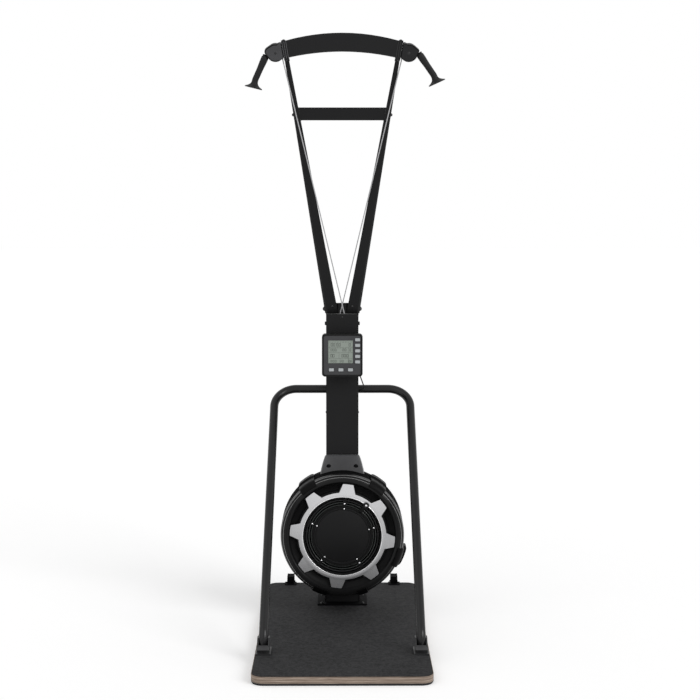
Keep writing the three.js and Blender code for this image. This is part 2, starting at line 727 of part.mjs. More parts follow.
function hoopClamp() {
  const inner = HOOP_TUBE_RADIUS + SEAT_GAP;
  const outer = inner + CLAMP_WALL;
  const ear = outer + CLAMP_EAR;
  const face = MAST_BACK_Y + SEAT_GAP;
  const saddle = new THREE.Shape();
  saddle.moveTo(face, -ear);
  saddle.lineTo(face + CLAMP_WALL, -ear);
  saddle.lineTo(face + CLAMP_WALL, -outer);
  saddle.lineTo(HOOP_BAR_Y, -outer);
  saddle.absarc(HOOP_BAR_Y, 0, outer, -Math.PI / 2, Math.PI / 2);
  saddle.lineTo(face + CLAMP_WALL, outer);
  saddle.lineTo(face + CLAMP_WALL, ear);
  saddle.lineTo(face, ear);
  saddle.lineTo(face, inner);
  saddle.lineTo(HOOP_BAR_Y, inner);
  saddle.absarc(HOOP_BAR_Y, 0, inner, Math.PI / 2, -Math.PI / 2, true);
  saddle.lineTo(face, -inner);
  const half = CLAMP_WIDTH / 2;
  return sideways(saddle, -half, half, CORNER_STEPS * 2).translate(0, 0, HOOP_BAR_HEIGHT);
}

function hoopFootBracket(x) {
  const halfWidth = HOOP_BRACKET_WIDTH / 2;
  const halfLength = HOOP_BRACKET_LENGTH / 2;
  const halfCheek = HOOP_CHEEK_LENGTH / 2;
  const plateY = [HOOP_FOOT_Y - halfLength, HOOP_FOOT_Y + halfLength];
  const plate = box([x - halfWidth, x + halfWidth], plateY, [DECK_TOP, HOOP_BRACKET_TOP]);
  const cheek = shapeOf([
    [HOOP_FOOT_Y - halfCheek, DECK_TOP],
    [HOOP_FOOT_Y + halfCheek, DECK_TOP],
    [HOOP_FOOT_Y + halfCheek, HOOP_BRACKET_TOP + HOOP_CHEEK_HEIGHT],
    [HOOP_FOOT_Y, HOOP_BRACKET_TOP + HOOP_CHEEK_HEIGHT],
    [HOOP_FOOT_Y - halfCheek, HOOP_BRACKET_TOP + HOOP_LIP_HEIGHT],
  ]);
  const inner = HOOP_TUBE_RADIUS + SEAT_GAP;
  const outer = inner + HOOP_BRACKET_THICK;
  const lipFront = HOOP_FOOT_Y - halfCheek;
  const lipY = [lipFront, lipFront + HOOP_BRACKET_THICK];
  const lip = box([x - outer, x + outer], lipY, [DECK_TOP, HOOP_BRACKET_TOP + HOOP_LIP_HEIGHT]);
  return joined(plate, lip, sideways(cheek, x - outer, x - inner), sideways(cheek, x + inner, x + outer));
}

place('support_hoop', supportHoop(), satinTube);
place('hoop_clamp', hoopClamp(), powderCoat);
for (const { name, sign } of sides) {
  place(`hoop_foot_bracket_${name}`, hoopFootBracket(sign * HOOP_FOOT_HALF), powderCoat);
}

// Fan housing: a front shell with a channelled face and a rear shell against the mast
const CHANNEL_OUTER = FAN_RADIUS - SHOULDER_RADIUS - CREST_WIDTH;
const REAR_SHELL_HOLE = BEARING_RADIUS + CUT_OVERRUN;

function frontShell() {
  const wall = FAN_SHELL;
  const shoulder = FAN_RADIUS - SHOULDER_RADIUS;
  const shoulderY = FAN_FRONT_Y + SHOULDER_RADIUS;
  const floorY = RING_SEAT_Y + CHANNEL_DEPTH;
  const ledge = GRILLE_RADIUS - GRILLE_LEDGE;
  const rebate = GRILLE_RADIUS + SEAT_GAP;
  const arc = (radius, k) => {
    const angle = (k / CORNER_STEPS) * (Math.PI / 2);
    return [shoulder + radius * Math.sin(angle), shoulderY - radius * Math.cos(angle)];
  };
  const steps = [...Array(CORNER_STEPS + 1).keys()];
  const outline = [
    [ledge, GRILLE_SEAT_Y],
    [rebate, GRILLE_SEAT_Y],
    [rebate, RING_SEAT_Y],
    [CHANNEL_INNER, RING_SEAT_Y],
    [CHANNEL_INNER + CHANNEL_SLOPE, floorY],
    [CHANNEL_OUTER - CHANNEL_SLOPE, floorY],
    [CHANNEL_OUTER, FAN_FRONT_Y],
    ...steps.map((k) => arc(SHOULDER_RADIUS, k)),
    [FAN_RADIUS, FAN_SPLIT_Y - SEAT_GAP],
    [FAN_RADIUS - wall, FAN_SPLIT_Y - SEAT_GAP],
    ...steps.map((k) => arc(SHOULDER_RADIUS - wall, k)).reverse(),
    [CHANNEL_OUTER + wall, FAN_FRONT_Y + wall],
    [CHANNEL_OUTER - CHANNEL_SLOPE + wall, floorY + wall],
    [CHANNEL_INNER + CHANNEL_SLOPE - wall, floorY + wall],
    [CHANNEL_INNER - wall, RING_SEAT_Y + wall],
    [rebate + wall, RING_SEAT_Y + wall],
    [rebate + wall, GRILLE_SEAT_Y + wall],
    [ledge, GRILLE_SEAT_Y + wall],
    [ledge, GRILLE_SEAT_Y],
  ];
  return turnedAboutY(outline, 0, FAN_CENTRE_HEIGHT);
}

// Lugs of the rear shell that grip over the front shell's rim, by their angle clockwise from the top
const rimClips = [
  { degrees: 325, width: UPPER_CLIP_WIDTH, proud: UPPER_CLIP_PROUD },
  { degrees: 35.5, width: UPPER_CLIP_WIDTH, proud: UPPER_CLIP_PROUD },
  { degrees: 111.5, width: SIDE_CLIP_WIDTH, proud: SIDE_CLIP_PROUD },
  { degrees: 160, width: LOWER_RIGHT_CLIP_WIDTH, proud: LOWER_CLIP_PROUD },
  { degrees: 202, width: LOWER_LEFT_CLIP_WIDTH, proud: LOWER_CLIP_PROUD },
];

function rimClip({ degrees, width, proud }) {
  const half = width / 2;
  const depth = [FAN_SPLIT_Y - CLIP_LENGTH / 2, FAN_SPLIT_Y + CLIP_LENGTH / 2];
  const shellMiddle = FAN_RADIUS - FAN_SHELL / 2;
  const foot = shellMiddle * Math.cos(half / FAN_RADIUS) - FAN_SHELL;
  const block = box([-half, half], depth, [foot, FAN_RADIUS + proud]);
  const rim = FAN_RADIUS / Math.cos(Math.PI / FINE_SIDES) + SEAT_GAP;
  const onAxis = (y) => point(0, y, 0);
  const frontHalf = rod(onAxis(depth[0] - CUT_OVERRUN), onAxis(FAN_SPLIT_Y), rim, FINE_SIDES);
  const rearStart = FAN_SPLIT_Y - FAN_SHELL;
  const rearHalf = rod(onAxis(rearStart), onAxis(depth[1] + CUT_OVERRUN), shellMiddle, FINE_SIDES);
  const turn = THREE.MathUtils.degToRad(degrees);
  return cut(block, frontHalf, rearHalf).rotateY(turn).translate(0, 0, FAN_CENTRE_HEIGHT);
}

function rearShell() {
  const wall = FAN_SHELL;
  const outline = [
    [FAN_RADIUS, FAN_SPLIT_Y],
    [FAN_RADIUS, FAN_BACK_Y - BACK_CHAMFER],
    [FAN_RADIUS - BACK_CHAMFER, FAN_BACK_Y],
    [REAR_SHELL_HOLE, FAN_BACK_Y],
    [REAR_SHELL_HOLE, FAN_BACK_Y - wall],
    [FAN_RADIUS - BACK_CHAMFER - wall, FAN_BACK_Y - wall],
    [FAN_RADIUS - wall, FAN_BACK_Y - BACK_CHAMFER - wall],
    [FAN_RADIUS - wall, FAN_SPLIT_Y],
    [FAN_RADIUS, FAN_SPLIT_Y],
  ];
  return joined(turnedAboutY(outline, 0, FAN_CENTRE_HEIGHT), ...rimClips.map(rimClip));
}

// The toothed ring: each tooth's sides narrow from its root to its tip
function toothedRing() {
  const pitch = (Math.PI * 2) / TOOTH_COUNT;
  const root = Math.asin(TOOTH_ROOT_WIDTH / 2 / RING_OUTER);
  const tip = Math.asin(TOOTH_TIP_WIDTH / 2 / TOOTH_TIP);
  const offset = THREE.MathUtils.degToRad(TOOTH_OFFSET_DEG);
  const at = (radius, angle) => [radius * Math.sin(angle), radius * Math.cos(angle)];
  const corners = [];
  for (let tooth = 0; tooth < TOOTH_COUNT; tooth += 1) {
    const centre = offset + tooth * pitch;
    corners.push(at(RING_OUTER, centre - root), at(TOOTH_TIP, centre - tip));
    corners.push(at(TOOTH_TIP, centre + tip), at(RING_OUTER, centre + root));
    for (let k = 1; k <= CORNER_STEPS; k += 1) {
      const share = k / (CORNER_STEPS + 1);
      corners.push(at(RING_OUTER, centre + root + share * (pitch - 2 * root)));
    }
  }
  const shape = shapeOf(corners);
  shape.holes.push(new THREE.Path().absarc(0, 0, RING_INNER, 0, Math.PI * 2));
  const plate = upright(shape, RING_FRONT_Y, RING_SEAT_Y - SEAT_GAP, FINE_SIDES / 2);
  return plate.translate(0, 0, FAN_CENTRE_HEIGHT);
}

// Grille: rim, wires and hub as rings, with ribs across them
function grille() {
  const rimInner = GRILLE_RADIUS - GRILLE_RIM;
  const back = GRILLE_SEAT_Y - SEAT_GAP;
  const turned = (inner, outer, near, far, steps = MID_SIDES) =>
    turnedAboutY(ring(inner, outer, near, far), 0, 0, steps);
  const pieces = [
    turned(rimInner, GRILLE_RADIUS, GRILLE_FRONT_Y, back, FINE_SIDES),
    turned(GRILLE_HUB, GRILLE_HUB + GRILLE_RIM, GRILLE_FRONT_Y, back),
  ];
  for (let wire = 1; wire <= GRILLE_WIRES; wire += 1) {
    const inner = rimInner - wire * GRILLE_PITCH;
    const wireFront = (GRILLE_FRONT_Y + back - GRILLE_WIRE) / 2;
    pieces.push(turned(inner, inner + GRILLE_WIRE, wireFront, wireFront + GRILLE_WIRE));
  }
  for (let rib = 0; rib < GRILLE_RIBS; rib += 1) {
    const half = GRILLE_RIB_WIDTH / 2;
    const across = [GRILLE_HUB + GRILLE_WIRE, rimInner + GRILLE_WIRE];
    const bar = box([-half, half], [GRILLE_FRONT_Y, back], across);
    pieces.push(bar.rotateY(THREE.MathUtils.degToRad(GRILLE_OFFSET_DEG) + (rib / GRILLE_RIBS) * Math.PI * 2));
  }
  return joined(...pieces).translate(0, 0, FAN_CENTRE_HEIGHT);
}

function centreDisc() {
  const back = GRILLE_FRONT_Y - SEAT_GAP;
  const front = back - DISC_THICK;
  const outline = [
    [0, back],
    [DISC_RADIUS, back],
    [DISC_RADIUS, front + DISC_EDGE],
    [DISC_RADIUS - DISC_EDGE, front],
    [0, front],
  ];
  return turnedAboutY(outline, 0, FAN_CENTRE_HEIGHT);
}

// Damper lever: it turns on the edge of the centre disc, with its knob in front of the toothed ring
const LEVER_BACK_Y = GRILLE_FRONT_Y - RUN_GAP;
const LEVER_FRONT_Y = LEVER_BACK_Y - LEVER_THICK;
const KNOB_BACK_Y = RING_FRONT_Y - RUN_GAP;
const LEVER_TURN = THREE.MathUtils.degToRad(LEVER_REST_DEG);

function damperLever() {
  const outer = LEVER_RING_INNER + LEVER_RING_WIDTH;
  const hoop = turnedAboutY(ring(LEVER_RING_INNER, outer, LEVER_FRONT_Y, LEVER_BACK_Y), 0, 0);
  const half = LEVER_ARM_WIDTH / 2;
  const armFoot = LEVER_RING_INNER + LEVER_RING_WIDTH / 2;
  const arm = box([-half, half], [LEVER_FRONT_Y, LEVER_BACK_Y], [armFoot, LEVER_ARM_END]);
  const at = (radius, y) => point(0, y, radius);
  const knobFront = KNOB_BACK_Y - KNOB_LENGTH;
  const knob = rod(at(KNOB_CENTRE, knobFront), at(KNOB_CENTRE, KNOB_BACK_Y), KNOB_RADIUS);
  const stem = rod(at(KNOB_STEM_CENTRE, knobFront), at(KNOB_STEM_CENTRE, LEVER_BACK_Y), KNOB_STEM_RADIUS);
  return joined(hoop, arm, knob, stem).rotateY(LEVER_TURN).translate(0, 0, FAN_CENTRE_HEIGHT);
}

// Fan rotor, its axle and the bearings in the mast
const ROTOR_BACK_Y = FAN_BACK_Y - FAN_SHELL - ROTOR_REAR_GAP;
const HUB_FRONT_Y = ROTOR_BACK_Y - ROTOR_HUB_LENGTH;

const AXLE_FRONT_Y = HUB_FRONT_Y - AXLE_REAR_STUB;
const AXLE_BACK_Y = MAST_BACK_Y + AXLE_REAR_STUB;

function fanRotor() {
  const bore = AXLE_RADIUS / 2;
  const discFront = ROTOR_BACK_Y - ROTOR_DISC_THICK;
  const outline = [
    [bore, ROTOR_BACK_Y],
    [ROTOR_RADIUS, ROTOR_BACK_Y],
    [ROTOR_RADIUS, discFront],
    [ROTOR_HUB_RADIUS, discFront],
    [ROTOR_HUB_RADIUS, HUB_FRONT_Y],
    [bore, HUB_FRONT_Y],
    [bore, ROTOR_BACK_Y],
  ];
  const pieces = [turnedAboutY(outline, 0, 0, MID_SIDES)];
  const half = ROTOR_BLADE_THICK / 2;
  const bladeEnd = ROTOR_RADIUS * Math.cos(Math.PI / MID_SIDES) - ROTOR_BLADE_THICK;
  for (let blade = 0; blade < ROTOR_BLADES; blade += 1) {
    const bladeY = [discFront - ROTOR_BLADE_DEPTH, discFront + half];
    const vane = box([-half, half], bladeY, [ROTOR_BLADE_INNER, bladeEnd]);
    pieces.push(vane.rotateY((blade / ROTOR_BLADES) * Math.PI * 2));
  }
  const axle = rod(point(0, AXLE_FRONT_Y, 0), point(0, AXLE_BACK_Y, 0), AXLE_RADIUS);
  return joined(...pieces, axle).translate(0, 0, FAN_CENTRE_HEIGHT);
}

function bearing(near) {
  const outline = ring(BEARING_BORE, BEARING_RADIUS, near, near + BEARING_THICK);
  return turnedAboutY(outline, 0, FAN_CENTRE_HEIGHT, MID_SIDES);
}

// Cord drums: each runs on the axle on a one-way clutch, with a hub for its half of the return cord
const LEFT_DRUM_Y = MAST_FRONT_Y + BEARING_THICK + 2 * RUN_GAP;
const DRUM_LENGTH = DRUM_WIDTH + DRUM_HUB_LENGTH;
const RIGHT_DRUM_Y = LEFT_DRUM_Y + 2 * DRUM_LENGTH + DRUM_MIDDLE_GAP;
const drumCordY = { left: LEFT_DRUM_Y + DRUM_WIDTH / 2, right: RIGHT_DRUM_Y - DRUM_WIDTH / 2 };
const drumHubY = {
  left: LEFT_DRUM_Y + DRUM_WIDTH + DRUM_HUB_LENGTH / 2,
  right: RIGHT_DRUM_Y - DRUM_WIDTH - DRUM_HUB_LENGTH / 2,
};

function cordDrum(start, way) {
  const core = DRUM_CORD_RADIUS - CORD_RADIUS - SEAT_GAP;
  const outline = [
    [BEARING_BORE, 0],
    [DRUM_FLANGE_RADIUS, 0],
    [DRUM_FLANGE_RADIUS, DRUM_FLANGE_THICK],
    [core, DRUM_FLANGE_THICK],
    [core, DRUM_WIDTH - DRUM_FLANGE_THICK],
    [DRUM_FLANGE_RADIUS, DRUM_WIDTH - DRUM_FLANGE_THICK],
    [DRUM_FLANGE_RADIUS, DRUM_WIDTH],
    [DRUM_HUB_RADIUS, DRUM_WIDTH],
    [DRUM_HUB_RADIUS, DRUM_LENGTH],
    [BEARING_BORE, DRUM_LENGTH],
    [BEARING_BORE, 0],
  ].map(([radius, y]) => [radius, start + way * y]);
  return turnedAboutY(outline, 0, FAN_CENTRE_HEIGHT, ROD_SIDES);
}

place('fan_front_shell', frontShell(), blackPlastic);
place('fan_rear_shell', rearShell(), blackPlastic);
place('toothed_ring', toothedRing(), silver);
place('grille', grille(), powderCoat);
place('centre_disc', centreDisc(), blackPlastic);
place('damper_lever', damperLever(), blackPlastic);
place('fan_rotor', fanRotor(), aluminium);
place('bearing_front', bearing(MAST_FRONT_Y), steel);
place('bearing_rear', bearing(MAST_BACK_Y - BEARING_THICK), steel);
place('cord_drum_left', cordDrum(LEFT_DRUM_Y, 1), blackPlastic);
place('cord_drum_right', cordDrum(RIGHT_DRUM_Y, -1), blackPlastic);

// Neck cover: a thin hood that widens from the mast down to the fan housing
const FAN_TOP = FAN_CENTRE_HEIGHT + FAN_RADIUS;

function neckSection(half, reach, inset, level) {
  const back = MAST_FRONT_Y - SEAT_GAP + (inset > 0 ? CUT_OVERRUN : 0);
  const front = MAST_FRONT_Y - reach + inset;
  const edge = half - inset;
  const corner = Math.min(NECK_CORNER, reach / 2);
  const pairs = [
    [-edge, back],
    [-edge, front + corner],
    [-edge + corner, front],
    [0, front - NECK_CROWN],
    [edge - corner, front],
    [edge, front + corner],
    [edge, back],
  ];
  return pairs.map(([x, y]) => point(x, y, level));
}

function neckCover() {
  const top = FAN_TOP + NECK_TOP_RISE;
  const foot = FAN_TOP - NECK_FOOT_DROP;
  const outer = lofted(
    neckSection(NECK_FOOT_HALF, NECK_REACH, 0, foot),
    neckSection(NECK_TOP_HALF, NECK_TOP_REACH, 0, top),
  );
  const inner = lofted(
    neckSection(NECK_FOOT_HALF, NECK_REACH, NECK_WALL, foot - NECK_WALL),
    neckSection(NECK_TOP_HALF, NECK_TOP_REACH, NECK_WALL, top - NECK_WALL),
  );
  const rim = FAN_RADIUS / Math.cos(Math.PI / FINE_SIDES) + SEAT_GAP;
  const housing = rod(fanAxis(MAST_FRONT_Y - 2 * NECK_REACH), fanAxis(MAST_BACK_Y), rim, FINE_SIDES);
  return cut(outer, inner, housing);
}

// Arms: channels, open at the back, that narrow from the yoke to the header
const ARM_FOOT_LEVEL = YOKE_LEVEL + SEAT_GAP;
const ARM_FOOT_Y = MAST_FRONT_Y + ARM_SETBACK;
const ARM_HEAD_Y = ARM_FOOT_Y - ARM_REACH;
const ARM_RISE = ARM_TOP - ARM_FOOT_LEVEL;
const LEAN = Math.atan2(ARM_REACH, ARM_RISE);
const YOKE_HALF = ARM_FOOT_HALF + ARM_FOOT_WIDTH / 2 - ARM_WALL - SEAT_GAP;

function armSection(sign, centre, width, front, depth, level) {
  const chamfer = width * ARM_CHAMFER_SHARE;
  const inner = centre - width / 2;
  const outer = centre + width / 2;
  const back = front + depth;
  const pairs = [
    [inner, back],
    [inner, front],
    [outer - chamfer, front],
    [outer, front + chamfer],
    [outer, back],
    [outer - ARM_WALL, back],
    [outer - ARM_WALL, front + chamfer + ARM_WALL / 2],
    [outer - chamfer - ARM_WALL / 2, front + ARM_WALL],
    [inner + ARM_WALL, front + ARM_WALL],
    [inner + ARM_WALL, back],
  ];
  return pairs.map(([x, y]) => point(sign * x, y, level));
}

function arm(sign) {
  const foot = armSection(sign, ARM_FOOT_HALF, ARM_FOOT_WIDTH, ARM_FOOT_Y, ARM_FOOT_DEPTH, ARM_FOOT_LEVEL);
  const head = armSection(sign, ARM_HEAD_HALF, ARM_HEAD_WIDTH, ARM_HEAD_Y, ARM_HEAD_DEPTH, ARM_TOP);
  return lofted(foot, head);
}

// Where the cord of each side goes into the mast, at the ledge in front of the arms
const cordHoleY = {
  left: MAST_FRONT_Y + CORD_LEDGE - CORD_CROSS_GAP / 2,
  right: MAST_FRONT_Y + CORD_LEDGE + CORD_CROSS_GAP / 2,
};

function yoke() {
  const back = ARM_FOOT_Y + ARM_FOOT_DEPTH + SEAT_GAP;
  const backY = [back, back + YOKE_WALL];
  const top = YOKE_LEVEL + YOKE_HEIGHT;
  const inner = YOKE_HALF - YOKE_WALL;
  const sideY = [ARM_FOOT_Y + 3 * YOKE_WALL, back + YOKE_WALL];
  const gusset = ARM_FOOT_HALF - ARM_FOOT_WIDTH / 2 - SEAT_GAP;
  const body = joined(
    box([-YOKE_HALF, YOKE_HALF], [MAST_FRONT_Y, MAST_BACK_Y], [MAST_TOP, YOKE_LEVEL]),
    box([-YOKE_HALF, -inner], sideY, [MAST_TOP, top]),
    box([inner, YOKE_HALF], sideY, [MAST_TOP, top]),
    box([-YOKE_HALF, YOKE_HALF], backY, [MAST_TOP, top]),
    box([-gusset, gusset], [ARM_FOOT_Y, ARM_FOOT_Y + YOKE_WALL], [MAST_TOP, top]),
  );
  const holes = sides.map(({ name, sign }) => {
    const at = (level) => point(-sign * CORD_HOLE_HALF, cordHoleY[name], level);
    return rod(at(MAST_TOP - CUT_OVERRUN), at(YOKE_LEVEL + CUT_OVERRUN), CORD_HOLE_RADIUS, CORD_SIDES);
  });
  return cut(body, ...holes);
}

// Size of an arm at a level, as a share of the way from its foot to its head
const armShare = (level) => (level - ARM_FOOT_LEVEL) / ARM_RISE;

function crossbar() {
  const low = CROSSBAR_LEVEL - CROSSBAR_HEIGHT / 2;
  const high = CROSSBAR_LEVEL + CROSSBAR_HEIGHT / 2;
  const ends = (level) => {
    const share = armShare(level);
    const centre = THREE.MathUtils.lerp(ARM_FOOT_HALF, ARM_HEAD_HALF, share);
    const width = THREE.MathUtils.lerp(ARM_FOOT_WIDTH, ARM_HEAD_WIDTH, share);
    const front = THREE.MathUtils.lerp(ARM_FOOT_Y, ARM_HEAD_Y, share);
    return { half: centre - width / 2 - SEAT_GAP, front };
  };
  const section = ({ half, front }, level) => {
    const back = front + CROSSBAR_DEPTH;
    const inner = half - CROSSBAR_WALL;
    const pairs = [
      [-half, back],
      [-half, front],
      [half, front],
      [half, back],
      [inner, back],
      [inner, front + CROSSBAR_WALL],
      [-inner, front + CROSSBAR_WALL],
      [-inner, back],
    ];
    return pairs.map(([x, y]) => point(x, y, level));
  };
  return lofted(section(ends(low), low), section(ends(high), high));
}

// Header plate: an arched front with a flange along its top and its bottom
const COLLAR_BACK_Y = ARM_HEAD_Y + ARM_HEAD_DEPTH;
const COLLAR_FRONT_Y = ARM_HEAD_Y - COLLAR_FRONT_REACH;
const COLLAR_FOOT = ARM_TOP + SEAT_GAP;
const ARM_SLOPE = (ARM_HEAD_HALF - ARM_FOOT_HALF) / ARM_RISE;
const outwardAt = (level) => ARM_SLOPE * (level - COLLAR_FOOT);

function headerCollar(sign) {
  const inner = Math.min(sign * HEADER_HALF, sign * (HEADER_HALF + COLLAR_WIDTH));
  const xs = [inner, inner + COLLAR_WIDTH];
  const block = box(xs, [COLLAR_FRONT_Y, COLLAR_BACK_Y], [COLLAR_FOOT, HEADER_LEVEL_ENDS]);
  const hollow = box(
    [xs[0] + COLLAR_WALL, xs[1] - COLLAR_WALL],
    [COLLAR_FRONT_Y + COLLAR_WALL, COLLAR_BACK_Y + CUT_OVERRUN],
    [COLLAR_FOOT + COLLAR_WALL, HEADER_LEVEL_ENDS - COLLAR_WALL],
  );
  const collar = cut(block, hollow);
  const spots = collar.attributes.position;
  for (let k = 0; k < spots.count; k += 1) {
    spots.setX(k, spots.getX(k) + sign * outwardAt(spots.getZ(k)));
  }
  return collar;
}

function headerPlate() {
  const arch = (level, rise, steps, way) => {
    const half = HEADER_HALF + COLLAR_WALL / 2 + outwardAt(level);
    const points = [];
    for (let k = 0; k <= steps; k += 1) {
      const x = -half + (2 * half * k) / steps;
      points.push([way * x, level + rise * (1 - (x / half) ** 2)]);
    }
    return points;
  };
  const footLevel = HEADER_LEVEL_ENDS - HEADER_HEIGHT_ENDS;
  const footRise = HEADER_RISE + HEADER_HEIGHT_ENDS - HEADER_HEIGHT_MIDDLE;
  const steps = 4 * CORNER_STEPS;
  const front = COLLAR_FRONT_Y;
  const face = shapeOf([
    ...arch(footLevel, footRise, steps, 1),
    ...arch(HEADER_LEVEL_ENDS, HEADER_RISE, steps, -1),
  ]);
  const back = front + HEADER_FLANGE;
  const strip = (level, rise, thick) =>
    shapeOf([...arch(level, rise, steps, 1), ...arch(level + thick, rise, steps, -1)]);
  return joined(
    headerCollar(-1),
    headerCollar(1),
    upright(face, front, front + HEADER_THICK),
    upright(strip(footLevel, footRise, HEADER_THICK), front, back),
    upright(strip(HEADER_LEVEL_ENDS - HEADER_THICK, HEADER_RISE, HEADER_THICK), front, back),
  );
}

place('neck_cover', neckCover(), neckGrey);
place('arm_yoke', yoke(), powderCoat);
place('crossbar', crossbar(), powderCoat);
place('header_plate', headerPlate(), powderCoat);
for (const { name, sign } of sides) {
  place(`arm_${name}`, arm(sign), powderCoat);
}

// Return cord: elastic, from one drum's hub over the pin in the mast to the other drum's hub
function returnCord() {
  const hubReach = DRUM_HUB_RADIUS + RETURN_CORD_RADIUS + 2 * RUN_GAP;
  const pinReach = CROSS_BOLT_RADIUS + RETURN_CORD_RADIUS + SEAT_GAP;
  const steps = 3 * CORNER_STEPS;
  const stations = [];
  for (let k = 0; k <= steps; k += 1) {
    const angle = (k / steps) * Math.PI;
    const drop = FAN_CENTRE_HEIGHT - hubReach * Math.sin(angle);
    stations.push(point(hubReach * Math.cos(angle), drumHubY.left, drop));
  }
  for (let k = 0; k <= steps; k += 1) {
    const angle = (k / steps) * Math.PI;
    const y = MAST_CENTRE_Y - pinReach * Math.cos(angle);
    stations.push(point(0, y, UPPER_BOLT_LEVEL + pinReach * Math.sin(angle)));
  }
  for (let k = 0; k <= steps; k += 1) {
    const angle = (k / steps) * Math.PI;
    const drop = FAN_CENTRE_HEIGHT - hubReach * Math.sin(angle);
    stations.push(point(-hubReach * Math.cos(angle), drumHubY.right, drop));
  }
  return tube(stations, RETURN_CORD_RADIUS, CORD_SIDES);
}

place('return_cord', returnCord(), rubber);

// Head group: its plane leans forward from the ledge on the mast to the head pulleys
const CORD_PLANE_Y = MAST_FRONT_Y + CORD_LEDGE;
const HEAD_Y = CORD_PLANE_Y - Math.tan(LEAN) * (PULLEY_LEVEL - YOKE_LEVEL);
const leaned = (geometry) => geometry.rotateX(LEAN).translate(0, HEAD_Y, PULLEY_LEVEL);
const across = new THREE.Vector3(1, 0, 0);
const headOrigin = point(0, HEAD_Y, PULLEY_LEVEL);
const fromHead = (x, y, z) => point(x, y, z).applyAxisAngle(across, LEAN).add(headOrigin);

// A place on the cord's circle round a head pulley, by its angle up from the outward side
function onPulley(sign, angle) {
  const x = sign * (PULLEY_HALF_SPREAD + PULLEY_CORD_RADIUS * Math.cos(angle));
  return point(x, 0, PULLEY_CORD_RADIUS * Math.sin(angle));
}

// Where the cord from the mast meets that circle
function cordHole(name, sign) {
  return point(-sign * CORD_HOLE_HALF, cordHoleY[name], YOKE_LEVEL);
}

function innerAngle(name, sign) {
  const seen = cordHole(name, sign).sub(headOrigin).applyAxisAngle(across, -LEAN);
  const u = sign * seen.x - PULLEY_HALF_SPREAD;
  const opening = Math.acos(PULLEY_CORD_RADIUS / Math.hypot(u, seen.z));
  return Math.atan2(seen.z, u) + 2 * Math.PI - opening;
}

const tailAngle = (sign) => THREE.MathUtils.degToRad(TAIL_LEAN_DEG) + sideTurn(sign);

// The way from the outer tangent down the cord's tail
function tailPoint(sign, length) {
  const angle = tailAngle(sign);
  const start = onPulley(sign, angle);
  return start.add(point(sign * length * Math.sin(angle), 0, -length * Math.cos(angle)));
}

function headPulley(sign) {
  const half = PULLEY_WIDTH / 2;
  const core = PULLEY_CORD_RADIUS - CORD_RADIUS - 2 * RUN_GAP;
  const waist = CORD_RADIUS + RUN_GAP;
  const outline = [
    [PULLEY_BORE, -half],
    [PULLEY_FLANGE_RADIUS, -half],
    [core, -waist],
    [core, waist],
    [PULLEY_FLANGE_RADIUS, half],
    [PULLEY_BORE, half],
    [PULLEY_BORE, -half],
  ];
  return leaned(turnedAboutY(outline, sign * PULLEY_HALF_SPREAD, 0, ROD_SIDES));
}

const HOUSING_INNER = PULLEY_HALF_SPREAD - HEADER_HALF - COLLAR_WIDTH - 2 * SEAT_GAP;
const sideTurn = (sign) =>
  THREE.MathUtils.degToRad(sign > 0 ? HOUSING_RIGHT_TURN_DEG : HOUSING_LEFT_TURN_DEG);

function housingOutline(sign) {
  const turn = sideTurn(sign);
  const backRise = PULLEY_LEVEL + HOUSING_HALF_DEPTH * Math.sin(LEAN);
  const root = (v) => [outwardAt(backRise + v * Math.cos(LEAN)) - HOUSING_INNER, v];
  const turned = (u, v) => [
    u * Math.cos(turn) - v * Math.sin(turn),
    u * Math.sin(turn) + v * Math.cos(turn),
  ];
  const arc = (from, to) => {
    const pairs = [];
    for (let k = 0; k <= 2 * CORNER_STEPS; k += 1) {
      const angle = THREE.MathUtils.degToRad(THREE.MathUtils.lerp(from, to, k / (2 * CORNER_STEPS)));
      pairs.push([HOUSING_RADIUS * Math.cos(angle), HOUSING_RADIUS * Math.sin(angle)]);
    }
    return pairs;
  };
  const pairs = [
    root(-HOUSING_ROOT_DROP),
    ...arc(HOUSING_UNDER_FROM_DEG, HOUSING_UNDER_TO_DEG + THREE.MathUtils.radToDeg(turn)),
    turned(HOUSING_NOSE_FOOT_REACH, -HOUSING_NOSE_FOOT),
    turned(HOUSING_NOSE_REACH, HOUSING_NOSE_RISE),
    turned(HOUSING_NOSE_TOP_REACH, HOUSING_NOSE_TOP),
    ...arc(HOUSING_OVER_FROM_DEG, HOUSING_OVER_TO_DEG),
    [-HOUSING_TOP_INSET, HOUSING_TOP_RISE],
    root(HOUSING_TOP_RISE),
  ];
  return shapeOf(pairs.map(([u, v]) => [sign * (PULLEY_HALF_SPREAD + u), v]));
}

// A shell of the pulley housing, with slots where the cord comes in and goes out
function housingShell(name, sign, near, far) {
  const inside = HOUSING_HALF_DEPTH - HOUSING_WALL;
  const atCentre = (y) => point(sign * PULLEY_HALF_SPREAD, y, 0);
  const cavity = rod(atCentre(-inside), atCentre(inside), HOUSING_CAVITY, MID_SIDES);
  const inward = onPulley(sign, innerAngle(name, sign));
  const hole = cordHole(name, sign).sub(headOrigin).applyAxisAngle(across, -LEAN);
  const run = new THREE.Vector3().subVectors(hole, inward).setLength(HOUSING_SLOT_LENGTH);
  const innerSlot = rod(inward, inward.clone().add(run), HOUSING_SLOT_RADIUS, CORD_SIDES);
  const outerSlot = rod(tailPoint(sign, 0), tailPoint(sign, TAIL_LENGTH), HOUSING_SLOT_RADIUS, CORD_SIDES);
  return cut(upright(housingOutline(sign), near, far), cavity, innerSlot, outerSlot);
}

